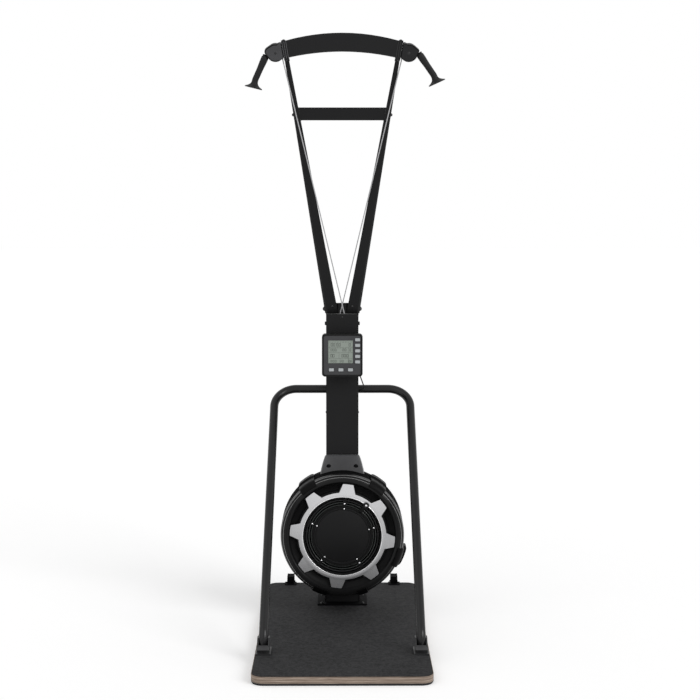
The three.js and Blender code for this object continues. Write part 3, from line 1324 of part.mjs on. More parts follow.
function housingFront(name, sign) {
  const shell = housingShell(name, sign, -HOUSING_HALF_DEPTH, -SEAT_GAP / 2);
  const at = (y) => point(sign * PULLEY_HALF_SPREAD, y, 0);
  const bore = rod(at(-HOUSING_HALF_DEPTH - CUT_OVERRUN), at(0), PULLEY_PIN_RADIUS + SEAT_GAP);
  return leaned(cut(shell, bore));
}

// The rear shell carries the axle pin, with the head of its screw in front of the front shell
function housingRear(name, sign) {
  const shell = housingShell(name, sign, SEAT_GAP / 2, HOUSING_HALF_DEPTH);
  const at = (y) => point(sign * PULLEY_HALF_SPREAD, y, 0);
  const headBack = -HOUSING_HALF_DEPTH - SEAT_GAP;
  const headFront = headBack - HOUSING_SCREW_THICK;
  const pin = rod(at(headFront), at(HOUSING_HALF_DEPTH - HOUSING_WALL / 2), PULLEY_PIN_RADIUS);
  return leaned(joined(shell, pin, rod(at(headFront), at(headBack), HOUSING_SCREW_RADIUS)));
}

// Drive cord: over the head pulley, down in front of the arms, through the ledge and round its drum
function driveCord(name, sign) {
  const stations = [];
  const arcSteps = 4 * CORNER_STEPS;
  const inner = innerAngle(name, sign);
  for (let k = 0; k <= arcSteps; k += 1) {
    const spot = onPulley(sign, THREE.MathUtils.lerp(tailAngle(sign), inner, k / arcSteps));
    stations.push(fromHead(spot.x, spot.y, spot.z));
  }
  stations.push(cordHole(name, sign));
  for (let k = 0; k <= arcSteps; k += 1) {
    const angle = (k / arcSteps) * Math.PI;
    const x = DRUM_CORD_RADIUS * Math.cos(angle);
    stations.push(point(x, drumCordY[name], FAN_CENTRE_HEIGHT - DRUM_CORD_RADIUS * Math.sin(angle)));
  }
  return tube(stations, CORD_RADIUS, CORD_SIDES);
}

function cordTail(sign) {
  const from = tailPoint(sign, SEAT_GAP);
  const to = tailPoint(sign, TAIL_LENGTH - CORD_RADIUS / 2 - SEAT_GAP);
  return rod(fromHead(from.x, from.y, from.z), fromHead(to.x, to.y, to.z), CORD_RADIUS, CORD_SIDES);
}

// Handle: a waisted grip, bent near its lower end, with a flared guard
function handle(sign, leanDegrees) {
  const flareStart = HANDLE_LENGTH - HANDLE_FLARE_LENGTH;
  const outline = [
    [0, 0],
    [HANDLE_TOP_RADIUS - HANDLE_EDGE, 0],
    [HANDLE_TOP_RADIUS, HANDLE_EDGE],
    [HANDLE_TOP_RADIUS, HANDLE_SHOULDER],
    [HANDLE_WAIST_RADIUS, HANDLE_WAIST_AT],
    [HANDLE_WAIST_RADIUS, flareStart],
    [HANDLE_NECK_RADIUS, HANDLE_LENGTH - HANDLE_NECK_RISE],
    [HANDLE_BELL_RADIUS, HANDLE_LENGTH - HANDLE_BELL_RISE],
    [HANDLE_FLARE_RADIUS, HANDLE_LENGTH - HANDLE_RIM],
    [HANDLE_FLARE_RADIUS, HANDLE_LENGTH],
    [HANDLE_FLARE_RADIUS - HANDLE_RIM, HANDLE_LENGTH],
    [HANDLE_WAIST_RADIUS, HANDLE_LENGTH - HANDLE_DISH],
    [0, HANDLE_LENGTH - HANDLE_DISH],
  ];
  const lean = THREE.MathUtils.degToRad(leanDegrees);
  const back = THREE.MathUtils.degToRad(HANDLE_BACK_DEG);
  const flat = Math.cos(back);
  const axis = point(sign * Math.sin(lean) * flat, Math.sin(back), -Math.cos(lean) * flat);
  const upward = new THREE.Vector3(0, 1, 0);
  const top = tailPoint(sign, TAIL_LENGTH);
  const grip = turnedAboutY(outline, 0, 0, ROD_SIDES);
  grip.applyQuaternion(new THREE.Quaternion().setFromUnitVectors(upward, axis));
  const start = fromHead(top.x, top.y, top.z);
  const bend = axis.clone().multiplyScalar(HANDLE_BEND_AT);
  const turn = sign * THREE.MathUtils.degToRad(HANDLE_BEND_DEG);
  const spots = grip.attributes.position;
  const spot = new THREE.Vector3();
  for (let k = 0; k < spots.count; k += 1) {
    spot.fromBufferAttribute(spots, k).sub(bend);
    if (spot.dot(axis) > 0) {
      spot.applyAxisAngle(upward, turn).add(bend);
      spots.setXYZ(k, spot.x, spot.y, spot.z);
    }
  }
  return grip.translate(start.x, start.y, start.z);
}

const handleLean = { left: HANDLE_LEFT_LEAN_DEG, right: HANDLE_RIGHT_LEAN_DEG };
for (const { name, sign } of sides) {
  place(`head_pulley_${name}`, headPulley(sign), blackPlastic);
  place(`pulley_housing_front_${name}`, housingFront(name, sign), darkGrey);
  place(`pulley_housing_rear_${name}`, housingRear(name, sign), darkGrey);
  place(`drive_cord_${name}`, driveCord(name, sign), cordGrey);
  place(`cord_tail_${name}`, cordTail(sign), cordGrey);
  place(`handle_${name}`, handle(sign, handleLean[name]), rubber);
}

// Monitor: two case shells round the display window and the buttons, on a bracket with a tilt pin
const MONITOR_BACK_Y = MAST_FRONT_Y - MONITOR_STANDOFF;
const MONITOR_SPLIT_Y = MONITOR_BACK_Y - MONITOR_REAR_DEPTH;
const MONITOR_FRONT_Y = MONITOR_SPLIT_Y - MONITOR_FRONT_DEPTH;
const MONITOR_PIVOT_Y = MONITOR_BACK_Y + MONITOR_PIVOT_REACH;
const BUTTON_BACK_Y = MONITOR_FRONT_Y + MONITOR_WALL + SEAT_GAP;

const buttons = [];
for (let k = 0; k < SIDE_BUTTONS; k += 1) {
  buttons.push({ name: `side_${k + 1}`, x: SIDE_BUTTON_X, z: SIDE_BUTTON_TOP - k * SIDE_BUTTON_PITCH });
}
for (let k = 0; k < FOOT_BUTTONS; k += 1) {
  buttons.push({ name: `foot_${k + 1}`, x: k * FOOT_BUTTON_PITCH - FOOT_BUTTON_LEFT, z: -FOOT_BUTTON_DROP });
}

function buttonBlock(width, height, corner, near, far, { x, z }) {
  return upright(roundedRectangle(width, height, corner), near, far, 1).translate(x, 0, z);
}

// An open box with rounded corners: its wall is at the near face or at the far face
function caseShell(near, far, open) {
  const whole = upright(roundedRectangle(MONITOR_WIDTH, MONITOR_HEIGHT, MONITOR_CORNER), near, far);
  const width = MONITOR_WIDTH - 2 * MONITOR_WALL;
  const height = MONITOR_HEIGHT - 2 * MONITOR_WALL;
  const inner = roundedRectangle(width, height, MONITOR_CORNER - MONITOR_WALL);
  return cut(whole, upright(inner, open[0], open[1]));
}

function monitorFrontCase() {
  const wallBack = MONITOR_FRONT_Y + MONITOR_WALL;
  const far = MONITOR_SPLIT_Y - SEAT_GAP;
  const shell = caseShell(MONITOR_FRONT_Y, far, [wallBack, far + CUT_OVERRUN]);
  const through = [MONITOR_FRONT_Y - CUT_OVERRUN, wallBack + CUT_OVERRUN];
  const opening = box([-SCREEN_LEFT, SCREEN_RIGHT], through, [-SCREEN_BOTTOM, SCREEN_TOP]);
  const width = BUTTON_WIDTH + 2 * RUN_GAP;
  const height = BUTTON_HEIGHT + 2 * RUN_GAP;
  const corner = BUTTON_CORNER + RUN_GAP;
  const holes = buttons.map((at) => buttonBlock(width, height, corner, through[0], through[1], at));
  return cut(shell, opening, ...holes).translate(0, 0, MONITOR_LEVEL);
}

// A flat outline from a straight edge to a round end about the tilt pin
function pinLug(edge, way) {
  const lug = new THREE.Shape();
  lug.moveTo(edge, -way * MONITOR_EAR_HALF);
  lug.lineTo(MONITOR_PIVOT_Y, -way * MONITOR_EAR_HALF);
  const from = (-way * Math.PI) / 2;
  lug.absarc(MONITOR_PIVOT_Y, 0, MONITOR_EAR_HALF, from, from + Math.PI, false);
  lug.lineTo(edge, way * MONITOR_EAR_HALF);
  return lug;
}

function monitorRearCase() {
  const wallFront = MONITOR_BACK_Y - MONITOR_WALL;
  const near = MONITOR_SPLIT_Y;
  const shell = caseShell(near, MONITOR_BACK_Y, [near - CUT_OVERRUN, wallFront]);
  const outer = MONITOR_BRACKET_HALF - MONITOR_EAR_THICK - RUN_GAP;
  const inner = outer - MONITOR_EAR_THICK;
  const lug = pinLug(MONITOR_BACK_Y - MONITOR_WALL / 2, 1);
  const at = (x) => point(x, MONITOR_PIVOT_Y, 0);
  const bore = rod(at(-MONITOR_BRACKET_HALF), at(MONITOR_BRACKET_HALF), MONITOR_PIN_RADIUS + RUN_GAP);
  const body = joined(shell, sideways(lug, inner, outer), sideways(lug, -outer, -inner));
  return cut(body, bore).translate(0, 0, MONITOR_LEVEL);
}

function screenWindow() {
  const lap = MONITOR_WALL;
  const y = [BUTTON_BACK_Y, BUTTON_BACK_Y + SCREEN_THICK];
  const pane = box([-SCREEN_LEFT - lap, SCREEN_RIGHT + lap], y, [-SCREEN_BOTTOM - lap, SCREEN_TOP + lap]);
  return pane.translate(0, 0, MONITOR_LEVEL);
}

function monitorButton(at) {
  const near = MONITOR_FRONT_Y - BUTTON_PROUD;
  const cap = buttonBlock(BUTTON_WIDTH, BUTTON_HEIGHT, BUTTON_CORNER, near, near + BUTTON_LENGTH, at);
  const width = BUTTON_WIDTH + 2 * BUTTON_FLANGE;
  const height = BUTTON_HEIGHT + 2 * BUTTON_FLANGE;
  const far = BUTTON_BACK_Y + BUTTON_FLANGE_THICK;
  const flange = buttonBlock(width, height, BUTTON_CORNER, BUTTON_BACK_Y, far, at);
  return joined(cap, flange).translate(0, 0, MONITOR_LEVEL);
}

// Bracket on the mast: a plate, two ears and the tilt pin between them
function monitorBracket() {
  const plateBack = MAST_FRONT_Y - SEAT_GAP;
  const plateFront = plateBack - MONITOR_WALL;
  const foot = MONITOR_PLATE_FOOT - MONITOR_LEVEL;
  const half = MONITOR_BRACKET_HALF;
  const plate = box([-half, half], [plateFront, plateBack], [foot, MONITOR_PLATE_TOP - MONITOR_LEVEL]);
  const ear = pinLug(plateFront + MONITOR_WALL / 2, -1);
  const inner = half - MONITOR_EAR_THICK;
  const at = (x) => point(x, MONITOR_PIVOT_Y, 0);
  const head = half + MONITOR_PIN_HEAD_THICK;
  return joined(
    plate,
    sideways(ear, inner, half),
    sideways(ear, -half, -inner),
    rod(at(-head), at(head), MONITOR_PIN_RADIUS),
    rod(at(-head), at(-inner), MONITOR_PIN_HEAD_RADIUS),
    rod(at(inner), at(head), MONITOR_PIN_HEAD_RADIUS),
  ).translate(0, 0, MONITOR_LEVEL);
}

// Sensor cable: from the monitor's foot in a loose bend to the mast's right side
function sensorCable() {
  const foot = MONITOR_LEVEL - MONITOR_HEIGHT / 2 - SEAT_GAP;
  const exitY = MONITOR_FRONT_Y + SENSOR_CABLE_EXIT_DEPTH;
  const entryY = MAST_FRONT_Y + SENSOR_CABLE_ENTRY_DEPTH;
  const middle = (SENSOR_CABLE_EXIT_HALF + SENSOR_CABLE_OUT_HALF) / 2;
  const curve = new THREE.CatmullRomCurve3([
    point(SENSOR_CABLE_EXIT_HALF, exitY, foot),
    point(middle, exitY, foot - SENSOR_CABLE_SAG),
    point(SENSOR_CABLE_OUT_HALF, MAST_FRONT_Y, foot - SENSOR_CABLE_DROP),
    point(MAST_HALF + 2 * SENSOR_CABLE_RADIUS, entryY, foot - SENSOR_CABLE_ENTRY_DROP),
  ]);
  const stations = curve.getPoints(4 * CORNER_STEPS);
  stations.push(point(MAST_HALF + SEAT_GAP, entryY, foot - SENSOR_CABLE_ENTRY_DROP));
  return tube(stations, SENSOR_CABLE_RADIUS, CORD_SIDES);
}

place('monitor_front_case', monitorFrontCase(), blackPlastic);
place('monitor_rear_case', monitorRearCase(), blackPlastic);
place('screen_window', screenWindow(), screenGrey);
for (const button of buttons) {
  place(`button_${button.name}`, monitorButton(button), buttonGrey);
}
place('monitor_bracket', monitorBracket(), powderCoat);
place('sensor_cable', sensorCable(), rubber);

export default machine;
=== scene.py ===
"""Ski trainer machine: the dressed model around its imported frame.

Every piece is a surface worked out with numpy in the machine's frame, in metres, or a node of the frame
with a procedural finish and an edge bevel. Run as a script; the frame is loaded at the top.
"""

import math

import bmesh
import bpy
import numpy as np
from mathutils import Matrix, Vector


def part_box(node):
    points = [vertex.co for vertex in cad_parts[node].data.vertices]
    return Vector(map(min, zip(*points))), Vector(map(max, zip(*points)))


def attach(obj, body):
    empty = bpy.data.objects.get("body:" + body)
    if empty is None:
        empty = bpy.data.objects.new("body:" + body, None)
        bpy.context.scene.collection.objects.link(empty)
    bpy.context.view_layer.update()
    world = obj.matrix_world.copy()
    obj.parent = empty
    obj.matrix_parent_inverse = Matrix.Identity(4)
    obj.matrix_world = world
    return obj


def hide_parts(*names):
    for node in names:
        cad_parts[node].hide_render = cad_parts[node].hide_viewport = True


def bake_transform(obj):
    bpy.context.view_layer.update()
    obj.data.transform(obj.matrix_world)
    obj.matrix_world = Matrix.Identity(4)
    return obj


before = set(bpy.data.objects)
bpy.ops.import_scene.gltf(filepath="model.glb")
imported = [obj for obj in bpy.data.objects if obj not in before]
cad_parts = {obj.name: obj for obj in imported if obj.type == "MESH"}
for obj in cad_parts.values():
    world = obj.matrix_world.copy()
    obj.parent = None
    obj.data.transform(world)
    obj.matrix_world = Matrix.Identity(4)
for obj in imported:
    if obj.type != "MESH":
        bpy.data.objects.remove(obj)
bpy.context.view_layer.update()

bl_info = {
    "name": "Ski trainer machine",
    "version": (1, 0, 0),
    "blender": (4, 5, 0),
    "location": "3D View > Sidebar > Ski trainer",
    "description": "Builds and finishes the pieces of a standing ski trainer machine",
    "category": "Object",
}

SIDES = {"left": -1, "right": 1}

# Heights and places that several pieces share, in metres
FAN_X = 0.0
FAN_Z = 0.331
DECK_TOP = 0.032
# Top of the black band along the plywood's foot: partly a thicker underlay's look, partly painted contact
# shadow
DARK_FOOT_TOP = 0.0082
LEAN = math.atan2(0.27, 0.9347)
HEAD = np.array([0.0, 0.002114, 2.115])
HEAD_AXIS = np.array([0.0, math.cos(LEAN), math.sin(LEAN)])
PULLEY_SPREAD = 0.240
FORWARD = (0, -1, 0)
SHARP_DEG = 32.0


# Arrays to meshes

def linked(name, data):
    """A new object of the scene that shows a mesh, curve, lamp or camera."""
    thing = bpy.data.objects.new(name, data)
    bpy.context.scene.collection.objects.link(thing)
    return thing


def unit(vectors):
    """Vectors, one or a row each, brought to length one."""
    return vectors / np.maximum(np.linalg.norm(vectors, axis=-1, keepdims=True), 1e-12)


def full_turn(steps):
    """Angles of a whole turn in even steps, the start not repeated."""
    return np.linspace(0, 2 * np.pi, steps, endpoint=False)


def smooth_faces(mesh, sharp_deg=SHARP_DEG):
    """Smooth shading but for the edges that turn by more than the angle."""
    mesh.shade_smooth()
    mesh.set_sharp_from_angle(angle=math.radians(sharp_deg))


def corners_of(mesh):
    """The corners of a mesh, a row (x, y, z) each."""
    flat = np.empty(len(mesh.vertices) * 3)
    mesh.vertices.foreach_get("co", flat)
    return flat.reshape(-1, 3)


def mesh_object(name, points, faces, sharp_deg=SHARP_DEG):
    """A mesh object at the origin from an array of points and a list of faces."""
    mesh = bpy.data.meshes.new(name)
    mesh.from_pydata(points.tolist(), [], faces)
    mesh.validate()
    smooth_faces(mesh, sharp_deg)
    mesh.update()
    return linked(name, mesh)


def grid_faces(rows, columns, wrap_rows=False, wrap_columns=True):
    """Quads of a grid of rows by columns: corner (i, j), (i, j+1), (i+1, j+1), (i+1, j), each index
    taken round where the grid closes on itself."""
    i = np.arange(rows if wrap_rows else rows - 1)
    j = np.arange(columns if wrap_columns else columns - 1)
    a, b = np.meshgrid(i, j, indexing="ij")
    c, d = (a + 1) % rows, (b + 1) % columns
    quads = np.stack([a * columns + b, a * columns + d, c * columns + d, c * columns + b], axis=-1)
    return quads.reshape(-1, 4).tolist()


def closed_surface(name, grid, wrap_rows=False, sharp_deg=SHARP_DEG):
    """A closed mesh of a grid of points. Its columns close on themselves, and its rows do too or else
    have a flat face at each end. All faces are turned over if they enclose a negative volume, the sum
    of p0 . (p1 x p2) / 6 over the triangles that fan out from each face's first corner."""
    rows, columns = grid.shape[:2]
    points = grid.reshape(-1, 3)
    faces = grid_faces(rows, columns, wrap_rows)
    if not wrap_rows:
        last = (rows - 1) * columns
        faces += [list(range(columns))[::-1], list(range(last, last + columns))]
    fans = np.array([(face[0], b, c) for face in faces for b, c in zip(face[1:], face[2:])])
    p0, p1, p2 = points[fans].transpose(1, 0, 2)
    if np.sum(p0 * np.cross(p1, p2)) < 0:
        faces = [face[::-1] for face in faces]
    return mesh_object(name, points, faces, sharp_deg)


def lathe(name, profile, centre, axis, steps, closed=False):
    """Surface of revolution: the point at profile row (r, h) and angle t is centre + h * axis
    + r * (cos t * u + sin t * v), with u and v square to the axis. A closed profile makes a ring."""
    r, h = np.array(profile, dtype=float).T
    w = unit(np.array(axis, dtype=float))
    u = unit(np.cross(w, (0.0, 0.0, 1.0) if abs(w[2]) < 0.9 else (1.0, 0.0, 0.0)))
    v = np.cross(w, u)
    t = full_turn(steps)
    round_part = np.cos(t)[:, None] * u + np.sin(t)[:, None] * v
    grid = np.asarray(centre) + h[:, None, None] * w + r[:, None, None] * round_part
    return closed_surface(name, grid, closed)


def sweep(name, path, radius, steps):
    """Tube with flat ends: at each station of the path a circle of the radius in the plane square to the
    tangent, carried along by turning the frame from one tangent to the next."""
    path = np.asarray(path, dtype=float)
    ahead = np.roll(path, -1, axis=0) - path
    behind = path - np.roll(path, 1, axis=0)
    ahead[-1], behind[0] = behind[-1], ahead[0]
    tangent = unit(unit(ahead) + unit(behind))
    normal = np.empty_like(tangent)
    seed = np.cross(tangent[0], (0.0, 0.0, 1.0))
    if np.linalg.norm(seed) < 1e-3:
        seed = np.cross(tangent[0], (1.0, 0.0, 0.0))
    normal[0] = unit(seed)
    for k in range(1, len(path)):
        normal[k] = unit(normal[k - 1] - np.dot(normal[k - 1], tangent[k]) * tangent[k])
    binormal = np.cross(tangent, normal)
    t = full_turn(steps)
    circle = np.cos(t)[None, :, None] * normal[:, None] + np.sin(t)[None, :, None] * binormal[:, None]
    return closed_surface(name, path[:, None] + radius * circle)


def slab(name, outline, near, far, place, holes=(), bevel=0.0):
    """A plate: the outline's points (a, b) at thickness c go to place(a, b, c), c being near and far.
    Holes are further closed outlines. A filled curve joins them to the outside."""
    curve = bpy.data.curves.new(name, "CURVE")
    curve.dimensions = "2D"
    curve.fill_mode = "BOTH"
    for loop in (outline, *holes):
        spline = curve.splines.new("POLY")
        spline.points.add(len(loop) - 1)
        flat = np.column_stack([loop, np.zeros(len(loop)), np.ones(len(loop))])
        spline.points.foreach_set("co", flat.ravel())
        spline.use_cyclic_u = True
    curve.extrude = (far - near) / 2
    holder = linked(name, curve)
    depsgraph = bpy.context.evaluated_depsgraph_get()
    mesh = bpy.data.meshes.new_from_object(holder.evaluated_get(depsgraph))
    bpy.data.objects.remove(holder)
    bpy.data.curves.remove(curve)
    a, b, c = corners_of(mesh).T
    mesh.vertices.foreach_set("co", place(a, b, c + (near + far) / 2).ravel())
    work = bmesh.new()
    work.from_mesh(mesh)
    bmesh.ops.remove_doubles(work, verts=work.verts, dist=1e-6)
    bmesh.ops.recalc_face_normals(work, faces=work.faces)
    work.to_mesh(mesh)
    work.free()
    smooth_faces(mesh)
    mesh.name = name
    thing = linked(name, mesh)
    if bevel > 0:
        edge_bevel(thing, bevel)
    return thing


def edge_bevel(thing, width, segments=2, angle_deg=30.0):
    """Rounds the edges of a piece that turn by more than the angle."""
    bevel = thing.modifiers.new("Edges", "BEVEL")
    bevel.width = width
    bevel.segments = segments
    bevel.limit_method = "ANGLE"
    bevel.angle_limit = math.radians(angle_deg)
    bevel.harden_normals = True


def joined(name, *things):
    """One object from several meshes, with their modifiers left off."""
    points, faces, start = [], [], 0
    for thing in things:
        mesh = thing.data
        points.append(corners_of(mesh))
        faces.extend([corner + start for corner in polygon.vertices] for polygon in mesh.polygons)
        start += len(mesh.vertices)
        bpy.data.objects.remove(thing)
        bpy.data.meshes.remove(mesh)
    return mesh_object(name, np.concatenate(points), faces)


def cut(thing, *cutters):
    """Takes the cutters out of a piece, once and for all, and removes them."""
    for cutter in cutters:
        boolean = thing.modifiers.new("Cut", "BOOLEAN")
        boolean.operation = "DIFFERENCE"
        boolean.solver = "EXACT"
        boolean.object = cutter
    depsgraph = bpy.context.evaluated_depsgraph_get()
    mesh = bpy.data.meshes.new_from_object(thing.evaluated_get(depsgraph))
    thing.modifiers.clear()
    old, thing.data = thing.data, mesh
    bpy.data.meshes.remove(old)
    for cutter in cutters:
        bpy.data.objects.remove(cutter)
    smooth_faces(mesh)


# Paths, outlines and placements

def rounded_path(corners, radii, steps):
    """Stations along straight runs whose corners are arcs: each arc starts and ends at radius / tan(half
    the corner's angle) from the corner and is worked out by turning a spoke about the arc's centre."""
    corners = [np.asarray(c, dtype=float) for c in corners]
    stations = [corners[0]]
    for before, corner, after, radius in zip(corners, corners[1:], corners[2:], radii):
        a, b = unit(before - corner), unit(after - corner)
        half = math.acos(np.clip(np.dot(a, b), -1, 1)) / 2
        centre = corner + unit(a + b) * radius / math.sin(half)
        start = corner + a * radius / math.tan(half) - centre
        end = corner + b * radius / math.tan(half) - centre
        turn = math.pi - 2 * half
        share = np.linspace(0, 1, steps + 1)[:, None]
        arc = (np.sin((1 - share) * turn) * start + np.sin(share * turn) * end) / math.sin(turn)
        stations.extend(arc + centre)
    stations.append(corners[-1])
    return np.array(stations)


def smooth_route(points, steps):
    """Stations of a smooth curve through the points: on each stretch the cubic whose end tangents are half
    the chord between the neighbours."""
    points = np.asarray(points, dtype=float)
    padded = np.vstack([2 * points[0] - points[1], points, 2 * points[-1] - points[-2]])
    t = np.linspace(0, 1, steps, endpoint=False)[:, None]
    route = []
    for a, b, c, d in zip(padded, padded[1:], padded[2:], padded[3:]):
        route.append(0.5 * (2 * b + (c - a) * t + (2 * a - 5 * b + 4 * c - d) * t ** 2
                            + (3 * b - a - 3 * c + d) * t ** 3))
    return np.vstack(route + [points[-1:]])


def straight(start, end, steps):
    """Stations at even steps from start to end, both included."""
    return [start + (end - start) * k for k in np.linspace(0, 1, steps)]


def rounded_outline(width, height, corner, centre=(0.0, 0.0)):
    """A rectangle with quarter-circle corners, anticlockwise about its centre."""
    t = np.linspace(0, np.pi / 2, 9)
    quarters = []
    for k, (sx, sy) in enumerate(((1, 1), (-1, 1), (-1, -1), (1, -1))):
        angle = t + k * np.pi / 2
        middle = np.array([sx * (width / 2 - corner), sy * (height / 2 - corner)])
        quarters.append(middle + corner * np.column_stack([np.cos(angle), np.sin(angle)]))
    return np.concatenate(quarters) + centre


def circle_outline(radius, steps, centre):
    """Points of a circle, anticlockwise. With radius and depth as its centre it is a bead's profile."""
    t = full_turn(steps)
    return np.asarray(centre) + radius * np.column_stack([np.cos(t), np.sin(t)])


def ribbed_circle(radius, depth, ribs, steps_per_rib=8):
    """A circle whose radius dips by the depth between its ribs, as a cosine of the angle."""
    t = full_turn(ribs * steps_per_rib)
    r = radius - depth * (0.5 - 0.5 * np.cos(ribs * t))
    return np.column_stack([r * np.cos(t), r * np.sin(t)])


def mirrored(half):
    """A wheel's profile from its half, as radius and distance from the middle, inner end first."""
    return [(r, -h) for r, h in half] + half[::-1]


def facing(x=0.0, y=0.0, z=0.0):
    """Placement for slabs that face the user: outline in X and Z, thickness along Y, from (x, y, z)."""
    return lambda a, b, c: np.column_stack([x + a, y + c, z + b])


def on_head(a, b, c):
    """Placement in the leaning plane of the head pulleys: a across, b up the plane, c square to it."""
    down = -np.sin(LEAN) * b + np.cos(LEAN) * c
    up = np.cos(LEAN) * b + np.sin(LEAN) * c
    return np.column_stack([a + HEAD[0], down + HEAD[1], up + HEAD[2]])


def head_point(a, b, c=0.0):
    """One point of the head's leaning plane."""
    return on_head(a, b, c)[0]


def fan_points(radius, angle, depth):
    """Points about the fan's axle by radius, angle clockwise from the top and depth along Y."""
    places = FAN_X + radius * np.sin(angle), depth, FAN_Z + radius * np.cos(angle)
    return np.stack(np.broadcast_arrays(*places), axis=-1)


def clockwise(radius, degrees, y=0.0):
    """A point in front of the fan by its angle clockwise from the top."""
    return fan_points(radius, math.radians(degrees), y)


# Finishes

def put(tree, socket, value):
    """Links a socket to another one, or sets it to a plain value."""
    if isinstance(value, bpy.types.NodeSocket):
        tree.links.new(value, socket)
    else:
        socket.default_value = value


def node(tree, kind, **values):
    """A shader node with its fields set by name, and its sockets linked or set by name."""
    made = tree.nodes.new(kind)
    for key, value in values.items():
        if key in made.inputs:
            put(tree, made.inputs[key], value)
        else:
            setattr(made, key, value)
    return made


def object_coordinates(tree, scale=(1.0, 1.0, 1.0)):
    """Object coordinates, scaled by a Mapping node."""
    source = node(tree, "ShaderNodeTexCoord").outputs["Object"]
    return node(tree, "ShaderNodeMapping", Vector=source, Scale=scale).outputs["Vector"]


def noise(tree, vector, scale, detail=4.0, roughness=0.55):
    """Value of a noise texture on the given coordinates."""
    return node(tree, "ShaderNodeTexNoise", Vector=vector, Scale=scale, Detail=detail,
                Roughness=roughness).outputs["Fac"]


def cells(tree, vector, scale):
    """Distance to the middle of the nearest of many small cells."""
    return node(tree, "ShaderNodeTexVoronoi", Vector=vector, Scale=scale).outputs["Distance"]


def spread(tree, value, low=0.3, high=0.7, start=0.0, end=1.0):
    """A value between low and high mapped onto start to end."""
    limits = {"From Min": low, "From Max": high, "To Min": start, "To Max": end}
    return node(tree, "ShaderNodeMapRange", Value=value, **limits).outputs["Result"]


def along_z(tree, low, high, start=0.0, end=1.0):
    """The level in object coordinates, between low and high, mapped onto start to end."""
    place = node(tree, "ShaderNodeSeparateXYZ", Vector=object_coordinates(tree))
    return spread(tree, place.outputs["Z"], low, high, start, end)


def worked_out(tree, operation, *values, **fields):
    """Result of a Math node on sockets and plain numbers."""
    made = node(tree, "ShaderNodeMath", operation=operation, **fields)
    for socket, value in zip(made.inputs, values):
        put(tree, socket, value)
    return made.outputs[0]


def mixed(tree, factor, one, other, **fields):
    """A colour between two, each a socket or three numbers, by a factor."""
    made = node(tree, "ShaderNodeMix", data_type="RGBA", **fields)
    for number, value in zip((0, 6, 7), (factor, one, other)):
        put(tree, made.inputs[number], (*value, 1.0) if isinstance(value, tuple) else value)
    return made.outputs[2]


def shade(colour, factor):
    """A colour made darker or lighter, no channel over one."""
    return tuple(min(1.0, channel * factor) for channel in colour)


def mottled(tree, value, colour, dark, light, low=0.3, high=0.7):
    """A colour from its dark to its light share, as a value goes from low to high."""
    return mixed(tree, spread(tree, value, low, high), shade(colour, dark), shade(colour, light))


def bump(tree, height, strength, distance):
    """A surface normal from a height."""
    return node(tree, "ShaderNodeBump", Strength=strength, Distance=distance,
                Height=height).outputs["Normal"]


def surface(name, specular=0.5, metallic=0.0):
    """A new material and its node tree."""
    material = bpy.data.materials.new(name)
    material.use_nodes = True
    shader = material.node_tree.nodes["Principled BSDF"]
    shader.inputs["Specular IOR Level"].default_value = specular
    shader.inputs["Metallic"].default_value = metallic
    return material, material.node_tree


def dressed(material, colour=None, roughness=None, normal=None):
    """The material with colour, roughness and normal, each a socket or a number, where they are given."""
    shader = material.node_tree.nodes["Principled BSDF"]
    for name, value in (("Base Color", colour), ("Roughness", roughness), ("Normal", normal)):
        if value is not None:
            put(material.node_tree, shader.inputs[name], value)
    return material


def coated_metal(name, colour, roughness, relief, specular):
    """Paint on metal: a fine orange-peel grain, slow changes of tone, and gloss that varies with them."""
    material, tree = surface(name, specular)
    vector = object_coordinates(tree)
    slow, fine = noise(tree, vector, 5.0), noise(tree, vector, 900.0, 2.0)
    gloss = spread(tree, slow, start=roughness - 0.04, end=roughness + 0.05)
    return dressed(material, mottled(tree, slow, colour, 0.88, 1.12), gloss,
                   bump(tree, fine, relief, 0.0004))


def moulded_plastic(name, colour, roughness, relief, specular):
    """Injection-moulded plastic: a spark-eroded pebble grain and faint flow marks."""
    material, tree = surface(name, specular)
    pebbles = cells(tree, object_coordinates(tree), 420.0)
    flow = noise(tree, object_coordinates(tree, (1.0, 1.0, 4.0)), 6.0)
    gloss = spread(tree, flow, start=roughness - 0.05, end=roughness + 0.05)
    return dressed(material, mottled(tree, flow, colour, 0.9, 1.1), gloss,
                   bump(tree, pebbles, relief, 0.0005))


def rough_below(material, roughness, low, high):
    """Makes a material quite rough up to the low level and of the given roughness from the high one."""
    dressed(material, roughness=along_z(material.node_tree, low, high, 1.0, roughness))


def darker_below(material, colour, share, low, high):
    """Gives a material painted shade: a colour that is cut to a share up to the low level and whole from
    the high one.
    """
    tree = material.node_tree
    dressed(material, mixed(tree, along_z(tree, low, high), shade(colour, share), colour))


def soft_rubber(name, colour, roughness):
    """Rubber: dull, with a dusty bloom in its tone and a fine grip grain."""
    material, tree = surface(name, 0.2)
    vector = object_coordinates(tree)
    dust, fine = noise(tree, vector, 30.0), noise(tree, vector, 260.0, 3.0)
    return dressed(material, mottled(tree, dust, colour, 1.0, 1.5, 0.35, 0.75), roughness,
                   bump(tree, fine, 0.4, 0.0006))


def bright_steel(name, colour, roughness):
    """Plated or polished metal: turned marks and small stains in its gloss."""
    material, tree = surface(name, metallic=1.0)
    marks = noise(tree, object_coordinates(tree, (1.0, 12.0, 1.0)), 160.0, 3.0)
    gloss = spread(tree, marks, start=roughness - 0.08, end=roughness + 0.12)
    return dressed(material, mottled(tree, marks, colour, 0.85, 1.1), gloss)


